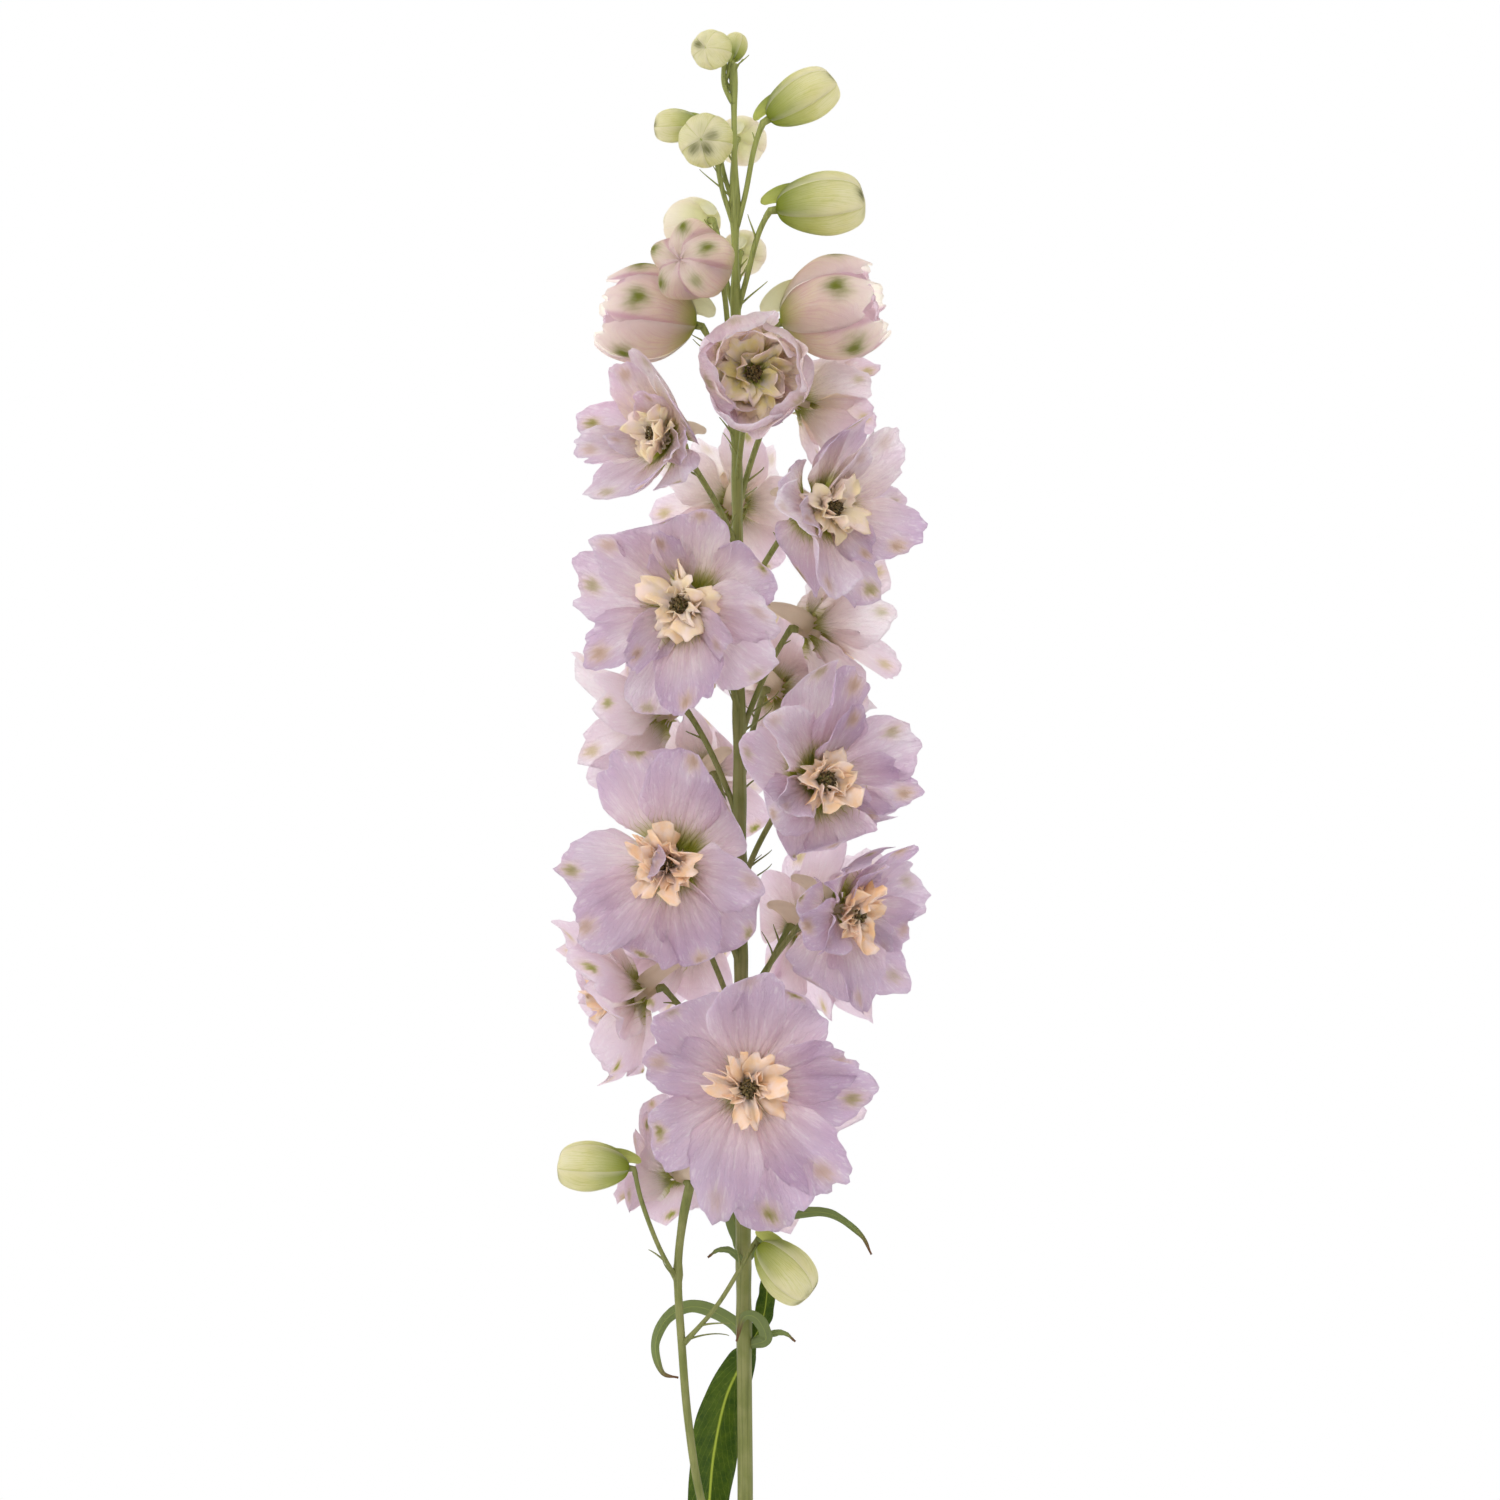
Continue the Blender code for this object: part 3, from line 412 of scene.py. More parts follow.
@dataclass(frozen=True)
class Bloom:
    """An open flower's place and size.

    spread is 0 for a cup and 1 for a flat flower. oval lengthens the petals that point up and down. folded
    is the turn of a petal that lies folded over the eye. lift and tip are the petals' angles at foot and tip,
    and a flower with a tip of its own closes to a ball. inner is the inner petals' share of the sepals'
    length.
    """

    number: int
    height: float
    bearing: float
    reach: float
    facing: float
    nod: float
    roll: float
    sepal: float
    spread: float
    oval: float = 0.0
    on_branch: bool = False
    folded: float = math.nan
    lift: float = 34.0
    tip: float = math.nan
    inner: float = 0.92

    @property
    def name(self) -> str:
        """The construction's name for it."""
        return f"bloom_{self.number:02d}"

    @property
    def axes(self) -> np.ndarray:
        """Its right, up and outward directions."""
        return flower_axes(self.facing, self.nod)

    @property
    def base(self) -> np.ndarray:
        """Where its back is."""
        return STEM.centre(self.height) + bearing_vector(self.bearing) * self.reach

    @property
    def cell(self) -> tuple[np.ndarray, float, bool]:
        """The middle and reach of the space that it fills, and that it bends."""
        return self.base + self.axes[2] * HUB_AHEAD, self.sepal, True


@dataclass(frozen=True)
class Bud:
    """A bud's place, measured from the upright stem, its size, and how far below it its stalk leaves."""

    number: int
    x: float
    y: float
    z: float
    facing: float
    nod: float
    long: float
    wide: float
    drop: float
    lobed: bool = False

    @property
    def name(self) -> str:
        """The construction's name for it."""
        return f"bud_{self.number:02d}"

    @property
    def axes(self) -> np.ndarray:
        """Its right, up and outward directions."""
        return flower_axes(self.facing, self.nod)

    @property
    def base(self) -> np.ndarray:
        """Where its back is."""
        return STEM.from_stem((self.x, self.y, self.z))

    @property
    def cell(self) -> tuple[np.ndarray, float, bool]:
        """The middle and reach of the space that it fills, and that it stays stiff."""
        return self.base + self.axes[2] * self.long * 0.5, self.long * 0.5, False


BLOOMS = (
    Bloom(1, 0.3445, 3, 0.0250, 2, -2, 186, 0.0356, 1.00, 0.13),
    Bloom(2, 0.3995, -38, 0.0250, -20, 0, -50, 0.0365, 0.94, 0.05, folded=148.0),
    Bloom(3, 0.4195, 42, 0.0240, 39, 2, 10, 0.0330, 0.88, 0.06),
    Bloom(4, 0.4870, 45, 0.0250, 44, 3, -12, 0.0305, 0.74, 0.06),
    Bloom(5, 0.4630, -24, 0.0250, -27, 2, 14, 0.0350, 0.88, 0.04),
    Bloom(6, 0.5040, -39, 0.0245, -33, 10, 0, 0.0250, 0.55, 0.02),
    Bloom(7, 0.3880, 62, 0.0250, 52, -10, 6, 0.0295, 0.85, 0.04),
    Bloom(8, 0.5215, 10, 0.0220, 3, -6, 20, 0.0330, 0.20, lift=10.0, tip=135.0, inner=0.76),
    Bloom(9, 0.5160, 128, 0.0190, 112, -4, 0, 0.0235, 0.42),
    Bloom(10, 0.4900, 182, 0.0220, 185, 2, 12, 0.0245, 0.62),
    Bloom(11, 0.4580, 108, 0.0180, 116, 0, 4, 0.0285, 0.66),
    Bloom(12, 0.4370, -106, 0.0180, -112, -6, -8, 0.0285, 0.62),
    Bloom(13, 0.4430, 158, 0.0220, 155, 4, 16, 0.0265, 0.74),
    Bloom(14, 0.4210, -158, 0.0220, -152, -4, -14, 0.0270, 0.80),
    Bloom(15, 0.3670, -84, 0.0240, -92, -12, 8, 0.0325, 0.80),
    Bloom(16, 0.3825, 138, 0.0220, 142, -2, 0, 0.0285, 0.86),
    Bloom(17, 0.3350, 176, 0.0220, 178, -8, 18, 0.0315, 0.92),
    Bloom(18, 0.3800, -146, 0.0220, -142, 2, -4, 0.0280, 0.84),
    Bloom(19, 0.3215, -52, 0.0190, -146, 34, 10, 0.0260, 0.66, on_branch=True),
)

BUDS = (
    Bud(1, -0.0125, -0.0060, 0.5338, -85, 12, 0.0240, 0.0230, 0.030, True),
    Bud(2, 0.0092, -0.0060, 0.5345, 80, 14, 0.0255, 0.0245, 0.030, True),
    Bud(3, -0.0072, -0.0090, 0.5470, -28, 8, 0.0195, 0.0180, 0.028, True),
    Bud(4, 0.0080, -0.0020, 0.5630, 85, 8, 0.0220, 0.0155, 0.026),
    Bud(5, 0.0060, 0.0000, 0.5860, 88, 33, 0.0190, 0.0125, 0.028),
    Bud(6, -0.0080, -0.0050, 0.5792, -12, 2, 0.0145, 0.0130, 0.020),
    Bud(7, -0.0118, 0.0030, 0.5848, -90, 0, 0.0110, 0.0080, 0.020),
    Bud(8, -0.0020, 0.0060, 0.5815, 172, 4, 0.0140, 0.0120, 0.020),
    Bud(9, -0.0062, -0.0020, 0.6020, -20, 6, 0.0110, 0.0095, 0.012),
    Bud(10, -0.0034, 0.0020, 0.6010, 165, 52, 0.0085, 0.0058, 0.008),
    Bud(11, -0.0090, 0.0065, 0.5610, -150, 0, 0.0160, 0.0130, 0.024),
    Bud(12, -0.0012, 0.0085, 0.5530, 175, 6, 0.0150, 0.0110, 0.024),
    Bud(13, -0.0290, -0.0170, 0.3235, -90, 4, 0.0175, 0.0120, 0.0),
    Bud(14, 0.0035, -0.0125, 0.3040, 78, -42, 0.0175, 0.0128, 0.0),
)
SIDE_BUD_NUMBERS = (13, 14)
PALE_BUD_NUMBERS = (8, 11, 12)
MEETING_BUD_NUMBER = 3


@dataclass(frozen=True)
class Walls:
    """The planes that keep one flower out of its neighbours' space."""

    on_wall: np.ndarray
    away: np.ndarray

    @classmethod
    def round_bloom(cls, bloom: Bloom) -> "Walls":
        """The planes between a flower and its neighbours, and one in front of the main stem.

        A plane stands square to the line between the two middles. Between two flowers it cuts the line in
        the ratio of their reaches, and before a bud it stands just clear of the bud.

        Args:
            bloom: The flower.

        Returns:
            Its planes, each as a point and a direction away from the flower.
        """
        middle, reach, _ = bloom.cell
        points, away = [], []
        for other in (*BLOOMS, *BUDS):
            centre, far, bends = other.cell
            apart = centre - middle
            distance = float(np.linalg.norm(apart))
            if other is bloom or distance > CELL_REACH:
                continue
            share = reach / (reach + far) if bends else 1.0 - (far + CELL_GAP) / distance
            points.append(middle + apart * share)
            away.append(apart / distance)
        if not bloom.on_branch:
            inward = -bearing_vector(bloom.bearing)
            points.append(STEM.centre(bloom.height) - inward * STEM_CLEAR)
            away.append(inward)
        return cls(np.array(points), np.array(away))

    def bend_clear(self, points: np.ndarray) -> np.ndarray:
        """Presses points back from each plane.

        Far inside they stay. Near a plane their distance inside becomes the gap plus the soft ramp
        soft x log(1 + exp((inside - gap) / soft)), so that a petal bends and never crosses it.

        Args:
            points: Points in any grid.

        Returns:
            The moved points, in the same grid.
        """
        moved = points.reshape(-1, 3).copy()
        for _ in range(CELL_PASSES):
            for on_wall, away in zip(self.on_wall, self.away):
                inside = (on_wall - moved) @ away
                x = (inside - CELL_GAP) / CELL_SOFT
                ramp = np.log1p(np.exp(np.minimum(x, CELL_RAMP_END)))
                eased = CELL_GAP + CELL_SOFT * np.where(x > CELL_RAMP_END, x, ramp)
                moved -= np.where(inside < CELL_NEAR, eased - inside, 0.0)[:, None] * away
        return moved.reshape(points.shape)


@dataclass(frozen=True)
class PetalCut:
    """The outline and relief of a petal, as shares of its length.

    The petal is a fan of rays from its claw. A ray's length falls from 1 at the middle with a power of the
    cosine of its share of the fan, a point grows out of the middle ray, and small waves make the teeth.
    """

    wide: float
    fan: float = 52.0
    power: float = 0.34
    taper: float = 0.20
    point: float = 0.06
    teeth: float = 0.042
    notch: float = 0.0
    ruffle: float = 0.060
    crease: float = 0.035
    pleats: float = 0.009
    keel: float = 0.012
    rows: int = 16
    columns: int = 47
    claw: float = 0.07
    row_power: float = 0.85
    side_power: float = 1.25
    fan_end: float = 88.5
    taper_power: float = 1.1
    lopsided: float = 0.10
    ragged_from: float = 0.45
    ragged_to: float = 0.80
    point_shift: float = 0.16
    point_range: Pair = (0.4, 1.6)
    point_width: float = 0.13
    notch_width: float = 0.16
    foot_width: float = 0.42
    foot_long: float = 0.50
    bites: int = 12
    bite_reach: float = 0.85
    bite_draw: Pair = (-0.2, 1.0)
    bite_width: Pair = (0.04, 0.20)
    saw_pace: float = 33.0
    saw_share: float = 0.3
    slow_wave: Pair = (5.5, 8.5)
    fast_wave: Pair = (12.0, 17.0)
    fast_share: float = 0.45
    bulge_pace: Pair = (2.6, 2.4)
    bulge_share: float = 0.5
    curl: float = 0.6
    pleat_pace: float = 21.0
    keel_width: float = 0.035
    crease_reach: float = 0.6
    crease_width: float = 0.14

    def flat(self, rng: np.random.Generator) -> tuple[np.ndarray, np.ndarray, np.ndarray, np.ndarray]:
        """The petal laid flat.

        Args:
            rng: The petal's own random draw.

        Returns:
            How far each point is across and along, and its share along its ray and across the fan.
        """
        lines = np.linspace(self.claw, 1.0, self.rows) ** self.row_power
        u, v = np.meshgrid(lines, np.linspace(-1.0, 1.0, self.columns), indexing="ij")
        v = np.sign(v) * (1.0 - (1.0 - np.abs(v)) ** self.side_power)
        ray = np.cos(v * math.radians(self.fan_end)) ** self.power
        ray = ray * (1.0 - self.taper * np.abs(v) ** self.taper_power)
        ray = ray * (1.0 + rng.normal(0.0, self.lopsided) * v)
        edge = smooth_step(u, self.ragged_from, 1.0) * (1.0 - smooth_step(np.abs(v), self.ragged_to, 1.0))
        beside = rng.normal(0.0, self.point_shift)
        tip = self.point * rng.uniform(*self.point_range) * np.exp(-np.abs(v - beside) / self.point_width)
        tip = tip - self.notch * hump(v, self.notch_width)
        ray = ray + edge * (self.ragged(v, rng) + tip)
        angle = v * math.radians(self.fan)
        along = ray * u * np.cos(angle)
        opened = self.foot_width + (1.0 - self.foot_width) * smooth_step(along, 0.0, self.foot_long)
        across = ray * u * np.sin(angle) * opened
        return across * self.wide / np.abs(across).max(), along / along.max(), u, v

    def ragged(self, v: np.ndarray, rng: np.random.Generator) -> np.ndarray:
        """The uneven rim: random bites and bumps, each fading from its sharp middle, and a fine wave.

        Args:
            v: The share across the fan.
            rng: The petal's own random draw.

        Returns:
            How far the rim stands out at each share, as a share of the petal's length.
        """
        middles = rng.uniform(-self.bite_reach, self.bite_reach, self.bites)
        widths = rng.uniform(*self.bite_width, self.bites)
        heights = rng.normal(*self.bite_draw, self.bites)
        cusps = (heights * np.exp(-np.abs(v[..., None] - middles) / widths)).sum(axis=-1)
        return self.teeth * (cusps + self.saw_share * np.sin(self.saw_pace * v + rng.uniform(0.0, TURN)))

    def relief(
        self, across: np.ndarray, u: np.ndarray, v: np.ndarray, rng: np.random.Generator
    ) -> np.ndarray:
        """How far each point stands off the smooth petal.

        Waves along the rim that grow with the fourth power of u, a rim that curls in or out, a sharp crease
        along one ray, radial pleats in the middle of the blade and a keel sunk along the midline.

        Args:
            across: How far each point is from the midline.
            u: Its share along its ray.
            v: Its share across the fan.
            rng: The petal's own random draw.

        Returns:
            The height of each point, as a share of the petal's length.
        """
        a, b, c, d = rng.uniform(0.0, TURN, 4)
        slow, fast = rng.uniform(*self.slow_wave), rng.uniform(*self.fast_wave)
        rim = np.sin(slow * v + a) + self.fast_share * np.sin(fast * v + b)
        bulge = np.sin(self.bulge_pace[0] * v + c) * np.sin(self.bulge_pace[1] * u + d)
        pleat = np.sin(self.pleat_pace * v + c) * np.sin(math.pi * u)
        groove = hump(across, self.keel_width) * (1.0 - u)
        crease_at = rng.uniform(-self.crease_reach, self.crease_reach)
        fold = np.exp(-np.abs(v - crease_at) / self.crease_width) * u * u * rng.normal(0.0, 1.0)
        curl = rng.normal(0.0, self.curl) * u**9
        waves = self.ruffle * (u**4 * rim + self.bulge_share * bulge * u + curl)
        return waves + self.crease * fold + self.pleats * pleat - self.keel * groove


@dataclass(frozen=True)
class PetalStand:
    """How a petal stands in its flower: its root, turn, length, angles and bends."""

    axes: np.ndarray
    root: np.ndarray
    turn: float
    long: float
    lift: float
    tilt: float
    cup: float
    twist: float
    sway: float = 0.0
    start: float = CUP_R * 0.6
    early: float = 1.35
    pace: float = 0.75
    wrapped: bool = False
    least_ring: float = 0.32
    cup_at: float = 0.4
    steps: int = 40

    def bend(self, across: np.ndarray, along: np.ndarray, relief: np.ndarray) -> np.ndarray:
        """Carries a flat petal along its bent midline.

        The midline leaves the root at the angle lift above the flower's face and turns to tilt with the
        pace-th power of its length, all of it done at 1 / early. Across it, the section rises by cup times
        the square of its distance from the midline and is turned by twist. sway moves the tip sideways. A
        wrapped petal runs round the flower's axis in a circle instead, and its twist lifts one edge.

        Args:
            across: How far each point is from the midline, as a share of the length.
            along: How far each point is along it, as a share of the length.
            relief: How far each point stands off the smooth petal, as a share of the length.

        Returns:
            The petal's points in the frame.
        """
        ring = math.radians(self.turn)
        radial = math.cos(ring) * self.axes[0] + math.sin(ring) * self.axes[1]
        side = -math.sin(ring) * self.axes[0] + math.cos(ring) * self.axes[1]
        out = self.axes[2]
        s = (np.arange(self.steps) + 0.5) / self.steps
        angle = np.radians(self.lift + (self.tilt - self.lift) * np.minimum(1.0, s * self.early) ** self.pace)
        knots = np.linspace(0.0, 1.0, self.steps + 1)
        run = np.concatenate(([0.0], np.cumsum(np.cos(angle)))) * self.long / self.steps
        climb = np.concatenate(([0.0], np.cumsum(np.sin(angle)))) * self.long / self.steps
        r, h = np.interp(along, knots, run), np.interp(along, knots, climb)
        here = np.interp(along, s, angle)[..., None]
        normal = -np.sin(here) * radial + np.cos(here) * out
        middle = self.root + radial * (self.start + r)[..., None] + out * h[..., None]
        turn = math.radians(self.twist)
        across = across + self.sway * along**2
        if self.wrapped:
            ring_r = np.maximum(self.start + r, self.least_ring * self.long)
            angle = across * self.long / ring_r
            inward = radial * (ring_r * (1.0 - np.cos(angle)))[..., None]
            carried = side * (ring_r * np.sin(angle))[..., None] - inward
            height = across * math.sin(turn) + relief
            return middle + carried + normal * (height * self.long)[..., None]
        sideways = side * math.cos(turn) + normal * math.sin(turn)
        height = self.cup * across**2 / self.cup_at + relief
        return middle + sideways * (across * self.long)[..., None] + normal * (height * self.long)[..., None]


@dataclass
class OpenFlower:
    """An open flower: sepals, inner petals, spur and hub as one piece, and its eye as another.

    Angles are in degrees. A draw is the spread of a random value, and a range is the two ends of one.
    """

    bloom: Bloom
    sepal_cut: PetalCut = PetalCut(0.335, point=0.07)
    petal_cut: PetalCut = PetalCut(0.305, point=0.05, teeth=0.050)
    ball_sepal_cut: PetalCut = PetalCut(0.41, point=0.0, teeth=0.040, ruffle=0.040, taper=0.05)
    ball_petal_cut: PetalCut = PetalCut(0.40, point=0.0, teeth=0.050, ruffle=0.050, pleats=0.02)
    nearest: int = 8
    coarse: tuple[int, int] = (14, 25)
    wall: float = 0.00030
    rim_thinned: float = 0.6
    shut_tilt: float = 74.0
    opens_by: float = 84.0
    least_cup: float = 0.16
    shut_cup: float = 0.30
    flat_spread: float = 0.93
    third_ring: float = 0.68
    third_turn: float = 80.0
    layer_lift: float = 8.0
    layer_tilt: float = 9.0
    row_tilt: float = 14.0
    row_rise: float = 0.3
    uneven_tilt: float = 5.0
    uneven_pace: float = 2.4
    tilt_draw: float = 4.0
    turn_draw: float = 3.0
    long_range: Pair = (0.95, 1.03)
    cup_range: Pair = (0.2, 1.6)
    twist: float = 11.0
    twist_draw: float = 8.0
    sway_draw: float = 0.07
    fold_near: float = 20.0
    fold_tilt: float = 132.0
    fold_long: float = 0.54
    ball_forward: float = 0.0035
    ball_twist: float = 5.0
    ball_twist_draw: float = 1.0
    ball_lift: float = 24.0
    ball_tilt: float = 112.0
    ball_tilt_draw: float = 8.0
    spur_route: tuple = (
        (0.0006, -0.0010),
        (0.0030, 0.0022),
        (0.0046, 0.0060),
        (0.0054, 0.0096),
        (0.0055, 0.0128),
    )
    spur_radii: Triple = (0.0023, 0.00055, 0.00022)
    spur_bell: Pair = (0.93, 0.06)
    spur_knots: int = 22
    spur_section: Section = Section(12, 5, 0.05)
    hub_radii: Pair = (0.45, 0.85)
    hub_arch: float = 0.55
    hub_knots: int = 9
    hub_section: Section = Section(14)

    def __post_init__(self) -> None:
        """Draws the flower's own random numbers and its planes."""
        bloom = self.bloom
        self.rng = np.random.default_rng(SEED + bloom.number)
        self.walls = Walls.round_bloom(bloom)
        self.near = bloom.number <= self.nearest
        self.incurved = not math.isnan(bloom.tip)
        self.forward = self.ball_forward if self.incurved else 0.0
        self.tip = bloom.tip if self.incurved else self.shut_tilt - self.opens_by * bloom.spread
        self.cup = self.least_cup + self.shut_cup * (1.0 - bloom.spread)
        if self.incurved:
            self.twist, self.twist_draw = self.ball_twist, self.ball_twist_draw
            self.sepal_cut, self.petal_cut = self.ball_sepal_cut, self.ball_petal_cut
        if not self.near:
            rows, columns = self.coarse
            self.sepal_cut = replace(self.sepal_cut, rows=rows, columns=columns)
            self.petal_cut = replace(self.petal_cut, rows=rows, columns=columns)

    def petal(self, cut: PetalCut, stand: PetalStand, whorl: Whorl) -> Surface:
        """One petal, bent clear of the neighbours, with its place along and across as UV.

        Args:
            cut: Its outline and relief.
            stand: How it stands.
            whorl: Which ring it belongs to.

        Returns:
            The closed petal, which thins towards its rim with the 5th power of how near that is.
        """
        across, along, u, v = cut.flat(self.rng)
        relief = cut.relief(across, u, v, self.rng)
        grid = self.walls.bend_clear(stand.bend(across, along, relief))
        margin = np.maximum(u, np.abs(v) ** 6)
        shade = shading(whorl, self.rng.uniform(), margin)
        uv = np.stack((across + 0.5, along), axis=-1)
        return sheet(grid, self.wall * (1.0 - self.rim_thinned * margin**5), uv, shade)

    def plan(self, whorl: Whorl) -> list[tuple[float, float, float, int]]:
        """Where the petals of one ring stand.

        Args:
            whorl: SEPAL or PETAL.

        Returns:
            Each petal's turn, its share of the full length, its row and its number in the row.
        """
        bloom = self.bloom
        if whorl is Whorl.SEPAL:
            return [(90.0 + bloom.roll + FIFTH * k, 1.0, 0.0, k) for k in range(5)]
        rows = [(90.0 - FIFTH / 2 + bloom.roll + FIFTH * k, bloom.inner, 0.0, k) for k in range(5)]
        if self.near and not self.incurved and bloom.spread < self.flat_spread:
            share = self.third_ring * bloom.inner
            rows += [(self.third_turn + bloom.roll + THIRD * k, share, 1.0, k) for k in range(3)]
        return rows

    def ring(self, whorl: Whorl) -> list[Surface]:
        """The petals of one ring, each a little unlike the next.

        Args:
            whorl: SEPAL for the five outer sepals, or PETAL for the five inner petals. A near flower that is
                not yet flat has three more inside those.

        Returns:
            The closed petals.
        """
        bloom, rng, axes = self.bloom, self.rng, self.bloom.axes
        layer = 0.0 if whorl is Whorl.SEPAL else 1.0
        made = []
        for turn, share, row, k in self.plan(whorl):
            lift = bloom.lift + self.layer_lift * (layer + row)
            tilt = self.tip + self.layer_tilt * layer + self.row_tilt * row
            tilt += self.uneven_tilt * math.sin(self.uneven_pace * k + layer)
            tilt += rng.normal(0.0, self.tilt_draw)
            turn += rng.normal(0.0, self.turn_draw * (1.0 + layer))
            long = bloom.sepal * share * (1.0 - bloom.oval * math.cos(2.0 * math.radians(turn)))
            long *= rng.uniform(*self.long_range)
            if self.incurved and layer:
                lift, tilt = self.ball_lift, self.ball_tilt + rng.normal(0.0, self.ball_tilt_draw)
            if layer and abs((turn - bloom.folded + 180.0) % 360.0 - 180.0) < self.fold_near and not row:
                tilt, long = self.fold_tilt, long * self.fold_long
            rise = (LAYER_RISE + self.forward) * layer + LAYER_RISE * self.row_rise * row
            stand = PetalStand(
                axes=axes,
                root=bloom.base + axes[2] * rise,
                turn=turn,
                long=long,
                lift=lift,
                tilt=tilt,
                cup=self.cup * rng.uniform(*self.cup_range),
                twist=self.twist + rng.normal(0.0, self.twist_draw),
                sway=rng.normal(0.0, self.sway_draw),
                early=1.0 if self.incurved else PetalStand.early,
                pace=1.0 if self.incurved else PetalStand.pace,
                wrapped=self.incurved,
            )
            cut = self.petal_cut if layer else self.sepal_cut
            made.append(self.petal(cut, stand, Whorl.CREAM if self.incurved and layer else whorl))
        return made

    def spur(self) -> Surface:
        """The hollow-looking spur, which rises behind the flower and curves back.

        Its radius falls with the 0.8th power of what is left of its length, and a small bell swells near its
        end.

        Returns:
            The closed tube.
        """
        bloom, (foot_r, end_r, bell), (bell_at, bell_long) = self.bloom, self.spur_radii, self.spur_bell
        route = np.array(self.spur_route)
        line = bloom.base + bloom.axes[1] * route[:, :1] - bloom.axes[2] * route[:, 1:]
        path = smooth_line(line, self.spur_knots)
        share = np.linspace(0.0, 1.0, len(path))
        swell = bell * hump(share - bell_at, bell_long)
        radii = foot_r * (1.0 - share) ** 0.8 + end_r + swell
        return tube(path, radii, self.spur_section, (Whorl.SPUR.value, 0.5, 0.0))

    def hub(self) -> Surface:
        """The small green base that the petals grow from, a barrel along the flower's axis.

        Returns:
            The closed barrel.
        """
        bloom, (low, swell) = self.bloom, self.hub_radii
        share = np.linspace(0.0, 1.0, self.hub_knots)
        back, front = -CORE_BACK, CORE_FRONT + self.forward
        path = bloom.base + bloom.axes[2] * (back + (front - back) * share)[:, None]
        radii = CUP_R * (low + swell * np.sin(share * math.pi * self.hub_arch))
        return tube(path, radii, self.hub_section, (Whorl.SPUR.value, 0.0, 1.0))

    def build(self, finishes: "Finishes") -> None:
        """Makes the flower's two pieces.

        Args:
            finishes: Every material of the object.
        """
        bloom = self.bloom
        petals = self.ring(Whorl.SEPAL) + self.ring(Whorl.PETAL) + [self.spur(), self.hub()]
        # The flowers at the back take a paler copy of the petal finish: painted light from behind
        finish = finishes.petal if self.near else finishes.rear_petal
        make_piece(f"petals_{bloom.number:02d}", petals, [finish], "petal", bloom.name)
        eye, eye_finishes = Eye(self).surfaces(), [finishes.bee, finishes.stamen]
        make_piece(f"eye_{bloom.number:02d}", eye, eye_finishes, "eye", bloom.name + "_eye")


